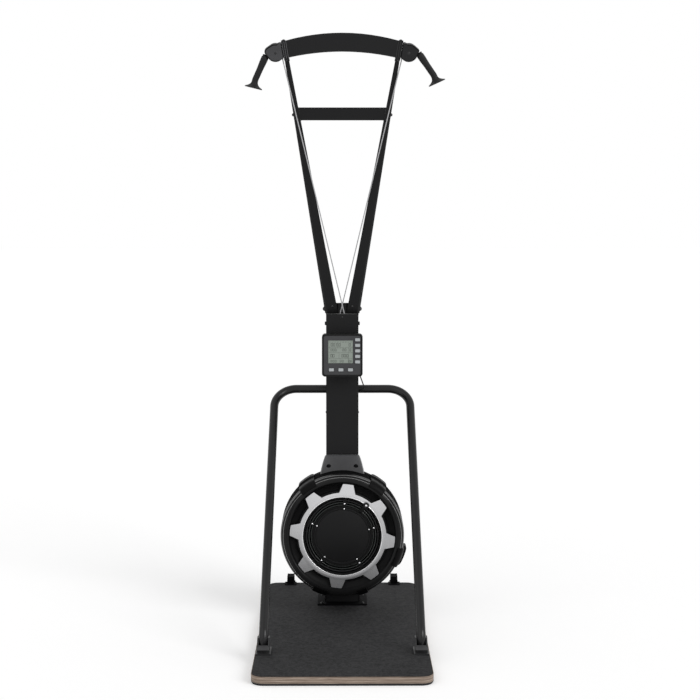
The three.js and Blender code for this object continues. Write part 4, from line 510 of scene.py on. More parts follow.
def ring_paint(name, colour):
    """Satin metal paint on the toothed ring: metallic flakes as tiny tilted cells, and painted shade that
    makes it darker towards the ring's foot."""
    material, tree = surface(name, metallic=0.75)
    vector = object_coordinates(tree)
    flakes, slow = cells(tree, vector, 2600.0), noise(tree, vector, 9.0)
    # Painted shade: the tone falls from the ring's top to its foot
    height = along_z(tree, FAN_Z - 0.19, FAN_Z + 0.17, end=0.85)
    tone = worked_out(tree, "MULTIPLY_ADD", spread(tree, slow), 0.15, height)
    return dressed(material, mixed(tree, tone, shade(colour, 0.60), shade(colour, 1.06)),
                   spread(tree, flakes, 0.0, 1.0, 0.24, 0.40), bump(tree, flakes, 0.05, 0.0002))


def deck_mat(name, colour):
    """Anti-slip mat: a sand-fine raised grain with lighter specks, worn a little lighter in patches."""
    material, tree = surface(name, 0.15)
    vector = object_coordinates(tree)
    specks, slow = noise(tree, vector, 80.0, 5.0, 0.85), noise(tree, vector, 3.0)
    patches = spread(tree, slow, end=0.2)
    tone = worked_out(tree, "MULTIPLY_ADD", spread(tree, specks, 0.36, 0.64), 0.8, patches)
    return dressed(material, mixed(tree, tone, shade(colour, 0.3), shade(colour, 1.8)), 0.85,
                   bump(tree, specks, 0.8, 0.0012))


def plywood_edge(name):
    """Plywood: thin plies stacked along Z, pale and brown in turn, with long fibres that streak along
    the board, and a black band along its foot: partly the look of a thicker black underlay, partly
    painted contact shadow."""
    material, tree = surface(name)
    flat = object_coordinates(tree, (0.25, 0.25, 1.0))
    plies = node(tree, "ShaderNodeTexWave", wave_type="BANDS", bands_direction="Z", wave_profile="SAW",
                 Vector=flat, Scale=36.0, Distortion=1.2, Detail=3.0, **{"Detail Scale": 2.0})
    fibres = noise(tree, object_coordinates(tree, (18.0, 18.0, 420.0)), 1.0, 6.0, 0.65)
    base = mixed(tree, plies.outputs["Fac"], (0.20, 0.145, 0.105), (0.46, 0.375, 0.31))
    streaks = mixed(tree, spread(tree, fibres, 0.32, 0.66), (0.46, 0.41, 0.37), (1.0, 1.0, 1.0))
    wood = mixed(tree, 1.0, base, streaks, blend_type="MULTIPLY")
    # Below this level the plywood is black: painted contact shadow and the underlay's look
    over_dark_foot = along_z(tree, DARK_FOOT_TOP - 0.0003, DARK_FOOT_TOP)
    return dressed(material, mixed(tree, over_dark_foot, (0.006, 0.006, 0.006), wood), 0.62,
                   bump(tree, fibres, 0.5, 0.0006))


def braided_cord(name, colour):
    """Braid: two waves of strands, one slanting and one level, multiplied."""
    material, tree = surface(name)
    vector = object_coordinates(tree)
    strands = [node(tree, "ShaderNodeTexWave", wave_type="BANDS", bands_direction=way, Vector=vector,
                    Scale=scale).outputs["Fac"] for way, scale in (("DIAGONAL", 320.0), ("Z", 420.0))]
    braid = worked_out(tree, "MULTIPLY", *strands)
    return dressed(material, mixed(tree, braid, shade(colour, 0.72), shade(colour, 1.1)), 0.7,
                   bump(tree, braid, 0.6, 0.0005))


def display_window(name):
    """Display pane: grey-green, smooth, with a faint backing grain under a clear coat."""
    material, tree = surface(name)
    grain = noise(tree, object_coordinates(tree), 700.0, 2.0)
    material.node_tree.nodes["Principled BSDF"].inputs["Coat Weight"].default_value = 0.4
    return dressed(material, mixed(tree, spread(tree, grain), (0.215, 0.25, 0.215), (0.25, 0.285, 0.25)),
                   0.18)


FINISH = {}


def make_finishes(looks):
    """Every finish, by a short name."""
    coat, plastic, neck = tuple(looks.frame_colour), tuple(looks.plastic_colour), tuple(looks.neck_colour)
    # Grey of the thin bright lines on the fan's shoulder and the yoke's ledge: painted highlights
    band = (0.30, 0.30, 0.30)
    # Long name, colour, roughness and, for coats and plastics, relief of the grain and specular level
    coats = {
        "black_powder_coat": ("Black powder coat", coat, 0.5, 0.3, 0.16),
        "black_tube": ("Black satin tube paint", shade(coat, 0.8), 0.24, 0.06, 0.28),
        "disc_black": ("Flat black disc coat", shade(plastic, 1.2), 0.6, 0.12, 0.15),
        "wire_black": ("Grille wire coat", (0.012, 0.016, 0.014), 0.22, 0.05, 0.6),
        "bolt_black": ("Black oxide bolts", (0.01, 0.01, 0.011), 0.33, 0.12, 0.4),
        # Lighter grey of the left collar ribs: painted light
        "lit_rib_grey": ("Worn band edge", (0.10, 0.10, 0.104), 0.4, 0.12, 0.22),
        # Near-black metal: the wheel brackets' own black, and painted shade on the foot bracket under the
        # fan
        "black_metal_and_shade": ("Blackened bracket", (0.004, 0.004, 0.0045), 0.7, 0.12, 0.03),
        # Dark grey coat of brackets, screw and right collar ribs, and painted sheen on the grille's outer
        # wire
        "dark_grey_coat_and_sheen": ("Dark grey bracket coat", (0.022, 0.022, 0.023), 0.42, 0.12, 0.3),
        "neck_grey": ("Satin grey paint", neck, 0.36, 0.12, 0.3),
    }
    plastics = {
        "black_plastic": ("Black moulded plastic", shade(plastic, 0.8), 0.5, 0.25, 0.12),
        "rim_plastic": ("Smooth black plastic", shade(plastic, 0.7), 0.28, 0.05, 0.17),
        "fan_rim": ("Fan rim plastic", shade(plastic, 0.6), 0.28, 0.05, 0.18),
        "clip_plastic": ("Clip plastic", shade(plastic, 0.3), 0.45, 0.1, 0.07),
        "shell_black": ("Dull black shell", shade(plastic, 0.6), 0.8, 0.25, 0.01),
        "channel_plastic": ("Deep channel plastic", shade(plastic, 0.6), 0.5, 0.25, 0.1),
        "dark_grey_plastic": ("Dark grey plastic", (0.055, 0.055, 0.058), 0.45, 0.25, 0.3),
        # The pulley housings' face plates are one grey plastic: the left copy is lighter as painted light,
        # the right darker as painted shade
        "housing_face_left": ("Grey housing face", (0.060, 0.060, 0.063), 0.5, 0.25, 0.2),
        "housing_face_right": ("Dark housing face", (0.016, 0.016, 0.017), 0.5, 0.25, 0.15),
        "figures": ("Display figures", (0.06, 0.072, 0.06), 0.4, 0.05, 0.3),
        "button_grey": ("Light grey keys", (0.42, 0.44, 0.45), 0.5, 0.1, 0.3),
        "monitor_face": ("Monitor face", (0.042, 0.042, 0.045), 0.42, 0.1, 0.3),
    }
    metals = {
        "fan_band": ("Fan band edge", band, 0.35),
        "band_line": ("Dull band edge", band, 0.35),
        "bright_line": ("Polished edge", (0.92, 0.92, 0.93), 0.25),
        "steel": ("Zinc-plated steel", (0.55, 0.55, 0.56), 0.28),
        "rivet": ("Bright rivets", (0.86, 0.86, 0.87), 0.3),
        "aluminium": ("Cast aluminium", (0.6, 0.6, 0.61), 0.42),
    }
    rubbers = {
        "rubber": ("Black rubber", (0.012, 0.012, 0.013), 0.8),
        "grip_rubber": ("Dark grey grip rubber", (0.010, 0.010, 0.0105), 0.6),
    }
    for kind, rows in ((coated_metal, coats), (moulded_plastic, plastics), (bright_steel, metals),
                       (soft_rubber, rubbers)):
        FINISH.update({key: kind(*row) for key, row in rows.items()})
    FINISH["silver_paint"] = ring_paint("Satin silver paint", tuple(looks.ring_colour))
    FINISH["plywood"] = plywood_edge("Plywood")
    FINISH["mat"] = deck_mat("Anti-slip mat", tuple(looks.mat_colour))
    FINISH["cord"] = braided_cord("Light grey braid", (0.55, 0.55, 0.56))
    FINISH["display"] = display_window("Display window")
    # Painted shade: the hood darkens towards its foot on the fan; the hoop gussets, wholly below, take the
    # darker share throughout
    darker_below(FINISH["neck_grey"], neck, share=0.55, low=0.556, high=0.606)
    # Painted shade: the bright bands fade to near black towards the fan's foot
    darker_below(FINISH["fan_band"], band, share=0.04, low=FAN_Z - 0.20, high=FAN_Z - 0.08)
    rough_below(FINISH["fan_rim"], roughness=0.28, low=FAN_Z - 0.20, high=FAN_Z - 0.10)


def paint(thing, finish):
    """Gives a piece or a node of the frame one finish."""
    thing.data.materials.clear()
    thing.data.materials.append(FINISH[finish])


def paint_nodes(finish, bevel, *names):
    """Nodes of the frame keep their meshes and get a finish and, where it isn't nothing, an edge bevel."""
    for name in names:
        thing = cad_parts[name]
        paint(thing, finish)
        if bevel > 0:
            edge_bevel(thing, bevel)


def fit(thing, finish, body="frame", replaces=()):
    """Paints a new piece, lets it ride on a body, and hides the nodes it stands for."""
    paint(thing, finish)
    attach(thing, body)
    if replaces:
        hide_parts(*replaces)


def fit_between(thing, finish, stands_for):
    """Paints a soft piece, hides the node it stands for, and bakes its placement into its mesh."""
    paint(thing, finish)
    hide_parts(stands_for)
    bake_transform(thing)


# Sizes, colours and what the steps share

def length(name, description, default, low, high):
    """A length in metres that the panel shows."""
    return bpy.props.FloatProperty(name=name, description=description, default=default, min=low, max=high,
                                   unit="LENGTH", subtype="DISTANCE")


def colour(name, description, default):
    """A colour in linear light that the panel shows."""
    return bpy.props.FloatVectorProperty(name=name, description=description, default=default, min=0.0,
                                         max=1.0, subtype="COLOR")


class SkiTrainerSizes(bpy.types.PropertyGroup):
    """Sizes that the finished look is tuned by; the frame keeps the rest."""
    edge_round: length("Edge rounding", "Rounding of the folded steel edges", 0.0012, 0.0002, 0.003)
    rim_bead: length("Rim bead", "Depth of the grooves round the fan's shells", 0.0015, 0.0, 0.003)
    bolt_radius: length("Bolt head radius", "Radius of most of the bolt heads", 0.0055, 0.003, 0.008)
    wire_radius: length("Grille wire radius", "Radius of the grille's round wires", 0.0016, 0.001, 0.002)


class SkiTrainerLooks(bpy.types.PropertyGroup):
    """Colours of the main finishes."""
    frame_colour: colour("Frame black", "Powder coat of mast, arms and crossbar", (0.0085, 0.0085, 0.009))
    plastic_colour: colour("Plastic black", "Plastic of fan shells and monitor", (0.0065, 0.0065, 0.0068))
    neck_colour: colour("Neck grey", "Satin grey of the cover between mast and fan", (0.068, 0.068, 0.071))
    ring_colour: colour("Ring silver", "Silver of the toothed ring", (0.60, 0.60, 0.61))
    mat_colour: colour("Mat grey", "Anti-slip mat on the platform", (0.026, 0.026, 0.027))


class BuildPiece:
    """Shared by all operators: the build's own error stops the script if it can't finish."""
    bl_options = {"REGISTER", "UNDO"}

    def execute(self, context):
        self.build(context.scene.ski_trainer_sizes)
        return {"FINISHED"}


class SKI_OT_finishes(BuildPiece, bpy.types.Operator):
    """Makes every procedural finish"""
    bl_idname = "ski.finishes"
    bl_label = "Finishes"

    def build(self, sizes):
        make_finishes(bpy.context.scene.ski_trainer_looks)


class SKI_OT_platform(BuildPiece, bpy.types.Operator):
    """Finishes underlay, plywood board and mat: the frame's own slabs with eased edges"""
    bl_idname = "ski.platform"
    bl_label = "Platform"

    def build(self, sizes):
        paint_nodes("rubber", 0.001, "rubber_underlay")
        paint_nodes("plywood", 0.0012, "platform_board")
        paint_nodes("mat", 0.0006, "platform_mat")


class SKI_OT_folded_steel(BuildPiece, bpy.types.Operator):
    """Finishes mast, yoke, arms, crossbar, header and brackets: folded sheets with rounded folds"""
    bl_idname = "ski.folded_steel"
    bl_label = "Folded steel"

    def build(self, sizes):
        paint_nodes("black_powder_coat", sizes.edge_round, "mast_channel", "arm_left", "arm_right",
                    "crossbar", "arm_yoke")
        paint_nodes("black_powder_coat", 0.0005, "mast_back_cover")
        paint_nodes("black_powder_coat", 0.0008, "header_plate")
        paint_nodes("black_powder_coat", 0.0006, "hoop_clamp", "monitor_bracket")
        paint_nodes("dark_grey_coat_and_sheen", 0.0006, "hoop_foot_bracket_left", "hoop_foot_bracket_right")
        # Near black: the wheel brackets' own black metal, and on the foot bracket under the fan painted
        # shade for the fan's shadow
        paint_nodes("black_metal_and_shade", 0.0005, "wheel_bracket_left", "wheel_bracket_right",
                    "mast_foot_bracket")


class SKI_OT_inner_works(BuildPiece, bpy.types.Operator):
    """Finishes rotor, bearings, drums, return cord and its pin, which show only through gaps"""
    bl_idname = "ski.inner_works"
    bl_label = "Inner works"

    def build(self, sizes):
        paint_nodes("dark_grey_plastic", 0.0006, "fan_rotor")
        paint_nodes("steel", 0.0, "bearing_front", "bearing_rear")
        paint_nodes("bolt_black", 0.0006, "return_cord_pin")
        paint_nodes("aluminium", 0.0004, "cord_drum_left", "cord_drum_right")
        paint_nodes("rubber", 0.0, "return_cord")


class SKI_OT_support_hoop(BuildPiece, bpy.types.Operator):
    """Sweeps one bent tube: a circle of 16 mm radius carried up the left leg, over the bar behind the mast
    and down the right leg, with arcs at the four bends, and lays a sloping gusset before each foot"""
    bl_idname = "ski.support_hoop"
    bl_label = "Support hoop"

    def build(self, sizes):
        lowest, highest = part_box("support_hoop")
        radius, foot_x, bar_x = 0.016, 0.271, 0.262
        knee_height, knee_bend, bar_bend = 0.050, 0.060, 0.085
        bar_z, bar_y = highest.z - radius, highest.y - radius
        foot_y, foot_z = lowest.y + radius, lowest.z
        right = [(foot_x, foot_y, foot_z), (foot_x, foot_y, foot_z + knee_height), (bar_x, bar_y, bar_z)]
        corners = [(-x, y, z) for x, y, z in right] + right[::-1]
        path = rounded_path(corners, (knee_bend, bar_bend, bar_bend, knee_bend), 20)
        fit(sweep("hoop_tube", path, radius, 40), "black_tube", replaces=("support_hoop",))
        width, length, thick, slope = 0.0430, 0.0250, 0.0020, math.radians(25)
        front_y, front_z = -0.4090, 0.0470

        def sloping(a, b, c):
            return np.column_stack([a, front_y + b * math.cos(slope) - c * math.sin(slope),
                                    front_z + b * math.sin(slope) + c * math.cos(slope)])

        for name, side in SIDES.items():
            outline = rounded_outline(width, length, 0.0015, (side * foot_x, length / 2))
            gusset = slab(f"hoop_gusset_{name}", outline, 0.0, thick, sloping)
            fit(gusset, "neck_grey")


# Fan

FAN_STEPS = 240
FAN_RADIUS = 0.232
FAN_SPLIT = 0.1824
FAN_BACK = 0.2644
FAN_WALL = 0.0035
SHOULDER_RADIUS = 0.206
SHOULDER_DEPTH = 0.1164
SHOULDER_ROUND = FAN_RADIUS - SHOULDER_RADIUS
RIB_DEGREES = tuple(4.0 + 72.0 * k for k in range(5))
# Angle clockwise from the top, width along the rim and height over it
RIM_CLIPS = ((325.0, 0.066, 0.014), (35.5, 0.066, 0.014), (111.5, 0.075, 0.019),
             (160.0, 0.038, 0.018), (202.0, 0.059, 0.018))


def fan_lathe(name, profile, closed=True):
    """A profile of radius and depth turned about the fan's axle."""
    return lathe(name, profile, (FAN_X, 0, FAN_Z), (0, 1, 0), FAN_STEPS, closed)


def shoulder(over, degrees):
    """Radius and depth at a height over the front shell's round shoulder, at angles from straight
    ahead."""
    t, reach = np.radians(degrees), SHOULDER_ROUND + over
    return np.column_stack([SHOULDER_RADIUS + reach * np.sin(t), SHOULDER_DEPTH - reach * np.cos(t)])


def dome(name, base, axis, radius, height):
    """A round head: part of a sphere of the given foot radius and height, on a short straight edge. It
    ends in a small flat at the top and starts with one in its foot."""
    sphere = (radius ** 2 + height ** 2) / (2 * height)
    flat, last_angle, sunk = 0.0002, 0.06, 0.0004
    t = np.linspace(math.asin(min(1.0, radius / sphere)), last_angle, 6)
    cap = np.column_stack([sphere * np.sin(t), sphere * np.cos(t) - sphere + height])
    return lathe(name, [(flat, -sunk), (radius, -sunk), *cap], base, axis, 20)


def bolt(name, base, axis, radius, height, finish="bolt_black", body="frame"):
    """The round head of a bolt, screw or cap on a body."""
    fit(dome(name, base, axis, radius, height), finish, body)


def eased_band(inner, outer, front, back, edge=0.0006):
    """Profile of a flat band between two radii, with its front edges cut off."""
    return [(inner, back), (inner, front + edge), (inner + edge, front), (outer - edge, front),
            (outer, front + edge), (outer, back)]


def radial_bar(name, degrees, low, high, near, far, half_width=0.006):
    """A flat bar along one of the fan's radii, from a low to a high radius and a near to a far depth."""
    side = clockwise(half_width, degrees + 90) - clockwise(0.0, 0.0)
    foot, head = clockwise(low, degrees), clockwise(high, degrees)
    outline = [(p[0], p[2]) for p in (foot - side, foot + side, head + side, head - side)]
    return slab(name, outline, near, far, facing())


def ring_of_rivets(name, reach, depth, radius, height):
    """A rivet in line with each of the grille's ribs, at a reach from the axle."""
    rivets = [dome("rivet", clockwise(reach, degrees, depth), FORWARD, radius, height)
              for degrees in RIB_DEGREES]
    fit(joined(name, *rivets), "rivet")


def rim_clip(name, degrees, width, proud):
    """A lug that grips over the rim: its section of radius and depth (a tongue over the shoulder, then a
    block across the split) is carried along the rim's circle, and drawn in towards both ends."""
    gap, tongue, half_depth, ease, degrees_round = 0.0006, 0.0065, 0.024, 0.003, np.linspace(12, 90, 10)
    rim, top = FAN_RADIUS + gap, FAN_RADIUS + proud
    front, back = FAN_SPLIT - half_depth, FAN_SPLIT + half_depth
    block = np.array([(rim + 0.0062, front - ease), (top - ease, front), (top, front + ease),
                      (top, back - ease), (top - ease, back), (rim, back)])
    section = np.concatenate([shoulder(tongue, degrees_round), block, shoulder(gap, degrees_round)[::-1]])
    share = np.array([0.0, 0.03, 0.1, 0.2, 0.35, 0.5, 0.65, 0.8, 0.9, 0.97, 1.0])[:, None]
    lift = 1 - 0.30 * np.abs(2 * share - 1) ** 8
    angle = math.radians(degrees) + math.asin(width / 2 / rim) * (2 * share - 1)
    radius = rim + (section[:, 0] - rim) * np.where(section[:, 0] > rim, lift, 1.0)
    clip = closed_surface(name, fan_points(radius, angle, section[:, 1]), sharp_deg=35)
    edge_bevel(clip, 0.0010, 2, 40)
    return clip


class SKI_OT_fan_shells(BuildPiece, bpy.types.Operator):
    """Turns the two shells of the fan housing about its axle: profiles of radius and depth, the front one
    in a face with a crest, a side with fine grooves and a channel for the toothed ring, and bends five
    lugs round the split"""
    bl_idname = "ski.fan_shells"
    bl_label = "Fan shells"

    def build(self, sizes):
        r, split, back = FAN_RADIUS, FAN_SPLIT, FAN_BACK
        inner, dip, screw_depth = r - FAN_WALL, r - sizes.rim_bead, 0.0243

        def groove(depth):
            return [(r, depth), (dip, depth + 0.0008), (dip, depth + 0.0024), (r, depth + 0.0032)]

        inside = [(r, 0.1182), (inner, 0.1182), (inner, SHOULDER_DEPTH), (0.2210, 0.0985),
                  (SHOULDER_RADIUS, 0.0939), (0.2040, 0.0950), (0.2005, 0.0990), (0.1985, 0.1021)]
        crest = [(0.1966, 0.0997), (0.1990, 0.0962), (0.2015, 0.0929), (0.2037, 0.0911)]
        face = fan_lathe("fan_front", [*shoulder(0.0, np.linspace(0, 90, 14)), *inside, *crest])
        fit(face, "fan_rim", replaces=("fan_front_shell",))
        rim = [(r, 0.1184), *groove(0.1360), *groove(0.1520), (r, split - 0.0015),
               (r - 0.0012, split - 0.0003), (inner, split - 0.0003), (inner, 0.1184)]
        fit(fan_lathe("fan_front_side", rim), "shell_black")
        trough = [(0.1420, 0.1054), (0.1499, 0.1054), (0.1503, 0.1050), (0.1503, 0.0978), (0.1507, 0.0974),
                  (0.1697, 0.0974), (0.1707, 0.0980), (0.1752, 0.1096), (0.1762, 0.1102), (0.1830, 0.1086),
                  (0.1900, 0.1050), (0.1966, 0.0997), (0.1985, 0.1021), (0.1910, 0.1080), (0.1830, 0.1118),
                  (0.1720, 0.1139), (0.1670, 0.1009), (0.1538, 0.1009), (0.1538, 0.1089), (0.1420, 0.1089)]
        fit(fan_lathe("fan_channel", trough), "channel_plastic")
        # Two thin grey metal rings on the shoulder stand for the bright lines along it: painted highlights,
        # faded towards the foot as painted shade
        for k, degrees in enumerate((60.0, 35.0)):
            line = circle_outline(0.0008, 12, shoulder(0.0002, degrees)[0])
            fit(fan_lathe(f"fan_band_{k + 1}", line), "fan_band")

        rear = [(r - 0.0012, split), (r, split + 0.0012), *groove(0.2050), (r, back - 0.008),
                (r - 0.0024, back - 0.0024), (r - 0.008, back), (0.024, back), (0.024, back - FAN_WALL),
                (r - 0.0115, back - FAN_WALL), (inner, back - 0.0115), (inner, split)]
        fit(fan_lathe("fan_rear", rear), "shell_black", replaces=("fan_rear_shell",))
        for k, (degrees, width, proud) in enumerate(RIM_CLIPS):
            clip = rim_clip(f"rim_clip_{k + 1}", degrees, width, proud)
            fit(clip, "clip_plastic")
            place = clockwise(FAN_RADIUS + proud * 0.3, degrees + 4.0, FAN_SPLIT - screw_depth)
            bolt(f"rim_clip_screw_{k + 1}", place, FORWARD, 0.0038, 0.0016, "steel")


TEETH = 8
TOOTH_OFFSET = math.radians(6.5)
TOOTH_FOOT = 0.1645
TOOTH_TIP = 0.197
# Half of a tooth's angle at its foot, 61 mm wide, and at its tip, 39 mm wide
FOOT_ANGLE = math.asin(0.061 / 2 / TOOTH_FOOT)
TIP_ANGLE = math.asin(0.039 / 2 / TOOTH_TIP)


def tooth_reach(angle):
    """Radius of the toothed ring's edge at an angle clockwise from the top: the circle of the teeth's
    feet, that of their tips, or the straight flank between the two, where a ray at that angle cuts it."""
    pitch = 2 * np.pi / TEETH
    away = np.abs((angle - TOOTH_OFFSET + pitch / 2) % pitch - pitch / 2)
    start = TOOTH_FOOT * np.array([math.sin(FOOT_ANGLE), math.cos(FOOT_ANGLE)])
    edge = TOOTH_TIP * np.array([math.sin(TIP_ANGLE), math.cos(TIP_ANGLE)]) - start
    flank = (start[0] * edge[1] - start[1] * edge[0]) / (np.sin(away) * edge[1] - np.cos(away) * edge[0])
    return np.where(away >= FOOT_ANGLE, TOOTH_FOOT, np.where(away <= TIP_ANGLE, TOOTH_TIP, flank))


class SKI_OT_toothed_ring(BuildPiece, bpy.types.Operator):
    """Shapes the silver ring as a polar grid: radius share by angle, out to the edge with its eight
    teeth. Its face stands proud along the middle of the band, and the teeth fall back towards their tips"""
    bl_idname = "ski.toothed_ring"
    bl_label = "Toothed ring"

    def build(self, sizes):
        inner, front, back = 0.1475, 0.0914, 0.0971
        band_middle, band_half, fall = 0.156, 0.0085, 0.0007
        corners = [TOOTH_OFFSET + k * 2 * math.pi / TEETH + s * a
                   for k in range(TEETH) for s in (-1, 1) for a in (FOOT_ANGLE, TIP_ANGLE)]
        angle = np.unique(np.round(np.concatenate([full_turn(720), np.mod(corners, 2 * np.pi)]), 6))
        reach = tooth_reach(angle)
        share = np.concatenate([[0.0, 0.04], np.linspace(0.1, 1.0, 14)])[:, None]
        radius = inner + share * (reach - inner)
        band = np.clip((radius - band_middle) / band_half, -1, 1)
        depth = front + fall * band ** 2 + 0.055 * np.maximum(radius - TOOTH_FOOT, 0)
        edges = np.array([reach, np.full_like(reach, inner)])
        grid = np.concatenate([fan_points(radius, angle, depth), fan_points(edges, angle, back)])
        ring = closed_surface("toothed_ring_plate", grid, wrap_rows=True, sharp_deg=25)
        edge_bevel(ring, 0.0014, 3, 35)
        fit(ring, "silver_paint", replaces=("toothed_ring",))
        # A thin bead of bright metal round the ring's inner edge: a painted highlight on its bevel
        lip = circle_outline(0.0014, 12, (inner + 0.0009, front + 0.0006))
        fit(fan_lathe("toothed_ring_lip", lip), "bright_line")


class SKI_OT_grille(BuildPiece, bpy.types.Operator):
    """Turns rim, hub ring and three round wires about the fan's axle, and lays five flat ribs across
    them, each with a rivet"""
    bl_idname = "ski.grille"
    bl_label = "Grille"

    def build(self, sizes):
        front, back = 0.1014, 0.1051
        rings, wires = [], []
        for inner, outer in ((0.141, 0.150), (0.096, 0.105)):
            rings.append(fan_lathe("ring", eased_band(inner, outer, front, back)))
        fit(joined("grille_rings", *rings), "black_plastic", replaces=("grille",))
        for middle in (0.1340, 0.1250, 0.1160):
            profile = circle_outline(sizes.wire_radius, 12, (middle, (front + back) / 2))
            wires.append(fan_lathe("grille_wire", profile))
        # The outer wire takes a lighter grey than the inner ones: painted sheen for the light arcs along it
        # at left and right
        fit(wires[0], "dark_grey_coat_and_sheen")
        fit(joined("grille_inner_wires", *wires[1:]), "wire_black")
        ribs = [radial_bar("rib", degrees, 0.0995, 0.1440, front, back) for degrees in RIB_DEGREES]
        fit(joined("grille_ribs", *ribs), "black_plastic")
        ring_of_rivets("grille_rivets", 0.1212, front, 0.0032, 0.0016)


class SKI_OT_centre_disc(BuildPiece, bpy.types.Operator):
    """Turns the flat centre disc with its eased edge and a shallow step, and five rivets round it"""
    bl_idname = "ski.centre_disc"
    bl_label = "Centre disc"

    def build(self, sizes):
        back, front = 0.1011, 0.0961
        profile = [(0.0004, back), (0.106, back), (0.106, front + 0.0022), (0.1056, front + 0.0008),
                   (0.1045, front), (0.1015, front), (0.1004, front + 0.0010), (0.1000, front + 0.0022),
                   (0.0985, front + 0.0022), (0.0981, front + 0.0010), (0.0970, front + 0.0004),
                   (0.0004, front + 0.0004)]
        disc = fan_lathe("centre_disc_plate", profile, closed=False)
        fit(disc, "disc_black", replaces=("centre_disc",))
        ring_of_rivets("centre_disc_rivets", 0.1030, front, 0.0027, 0.0014)


class SKI_OT_damper_lever(BuildPiece, bpy.types.Operator):
    """Turns the lever's ring about the fan's axle, lays its arm outwards and sets a ribbed knob with a
    bright centre on its end"""
    bl_idname = "ski.damper_lever"
    bl_label = "Damper lever"

    def build(self, sizes):
        rest, near, far = 37.0, 0.0979, 0.1009
        ring = fan_lathe("ring", eased_band(0.107, 0.113, near, far, 0.0005))
        arm = radial_bar("arm", rest, 0.110, 0.1435, near, far)
        lever = joined("damper_ring", ring, arm)
        fit(lever, "black_plastic", "damper", replaces=("damper_lever",))
        middle, height, sunk = clockwise(0.1480, rest, 0.0909), 0.012, 0.0003
        ribs = ribbed_circle(0.011, 0.0005, 18)
        knob = slab("damper_knob", ribs, -height, 0.0, facing(*middle), bevel=0.0007)
        fit(knob, "rim_plastic", "damper")
        bolt("knob_cap", middle - (0, height - sunk, 0), FORWARD, 0.0048, 0.0010, "rivet", "damper")


def neck_surface():
    """Grid of points (down, along the section) of the hood's outside. At a share s from top to foot the
    half width and the reach in front of the mast grow in a straight line with a slight swell. The section
    runs forward, round a corner, over the crowned front, round the other corner and back, so that each of
    its lines has shares of half width, reach, corner and crown. A line ends where it meets the fan's
    circle, found by repeating s = drop to the circle at x(s) / whole drop."""
    top, foot, mast_y = FAN_Z + FAN_RADIUS + 0.046, FAN_Z + FAN_RADIUS - 0.022, 0.2647
    side, bend = np.linspace(0, 1, 5)[:-1], np.linspace(0, np.pi / 2, 9)
    cross = np.linspace(1, -1, 25)[1:-1]
    flank = [-np.ones(13), np.concatenate([np.zeros(4), 1 - np.cos(bend)]),
             np.concatenate([side, np.ones(9)]), np.concatenate([-side, np.sin(bend) - 1]), np.zeros(13)]
    front = [-cross, cross, np.ones(23), np.zeros(23), 0.004 * (1 - cross ** 2)]
    x_half, x_corner, y_reach, y_corner, crown = [
        np.concatenate([one, over, sign * one[::-1]])
        for one, over, sign in zip(flank, front, (-1, -1, 1, 1, 1))]

    def places(s):
        half, corner = 0.0612 + 0.021 * s ** 0.75, 0.007 + 0.009 * s
        reach = 0.014 + 0.090 * s + 0.006 * np.sin(np.pi * s)
        x = x_half * half + x_corner * corner
        return x, mast_y - (y_reach * reach + y_corner * corner + crown), top + (foot - top) * s

    end = np.ones(len(x_half))
    for _ in range(30):
        end = (top - FAN_Z - np.sqrt((FAN_RADIUS + 0.0006) ** 2 - places(end)[0] ** 2)) / (top - foot)
    rows = [np.column_stack(places(end * share)) for share in np.linspace(0, 1, 26)]
    x, y, z = rows[0].T
    lid = [np.column_stack([x, mast_y + (y - mast_y) * k, z]) for k in (0.0, 0.5)]
    return np.array(lid + rows)


class SKI_OT_neck_cover(BuildPiece, bpy.types.Operator):
    """Blends the hood from its narrow top to its wide foot on the fan, as one sheet 3 mm thick, with two
    screws near the foot"""
    bl_idname = "ski.neck_cover"
    bl_label = "Neck cover"

    def build(self, sizes):
        grid = neck_surface()
        faces = grid_faces(*grid.shape[:2], wrap_columns=False)
        hood = mesh_object("neck_hood", grid.reshape(-1, 3), faces)
        wall = hood.modifiers.new("Wall", "SOLIDIFY")
        wall.thickness = 0.003
        wall.offset = -1.0
        edge_bevel(hood, 0.0014, 3, 40)
        fit(hood, "neck_grey", replaces=("neck_cover",))
        screw_x, screw_z = 0.0495, 0.5760
        spots = grid[2:, 14:-14].reshape(-1, 3)
        for name, side in SIDES.items():
            away = np.hypot(spots[:, 0] - side * screw_x, spots[:, 2] - screw_z)
            base = spots[np.argmin(away)] + (0, -0.0035, 0.0022)
            bolt(f"neck_screw_{name}", base, (0, -0.80, 0.6), 0.0086, 0.0040, "black_metal_and_shade")


# Head pulleys, cords and handles

PULLEY_CORD = 0.019
DRUM_CORD = 0.028
TAIL_LENGTH = 0.0344
TURN = {-1: 0.0, 1: math.radians(12.5)}
ARM_SLOPE = 0.159 / 0.9347
CORD_RADIUS = 0.002
CORD_STEPS = 14
HOLE_Y = {"left": 0.276, "right": 0.284}
YOKE_TOP = 1.153
DRUM_Y = {"left": 0.283, "right": 0.319}
COLLAR_FOOT = 2.0883
HANDLE_LEAN = {"left": 24.5, "right": 35.0}


def on_pulley(side, angle):
    """Across and up, in the head's plane, of the cord's circle at an angle from the outward side."""
    return np.array([side * (PULLEY_SPREAD + PULLEY_CORD * math.cos(angle)), PULLEY_CORD * math.sin(angle)])


def cord_hole(name):
    """Where a drive cord goes down into the mast's head, in the head's plane and in the frame."""
    place = np.array([-SIDES[name] * 0.008, HOLE_Y[name], YOKE_TOP])
    seen = place - HEAD
    up = math.cos(LEAN) * seen[2] - math.sin(LEAN) * seen[1]
    return np.array([seen[0], up]), place


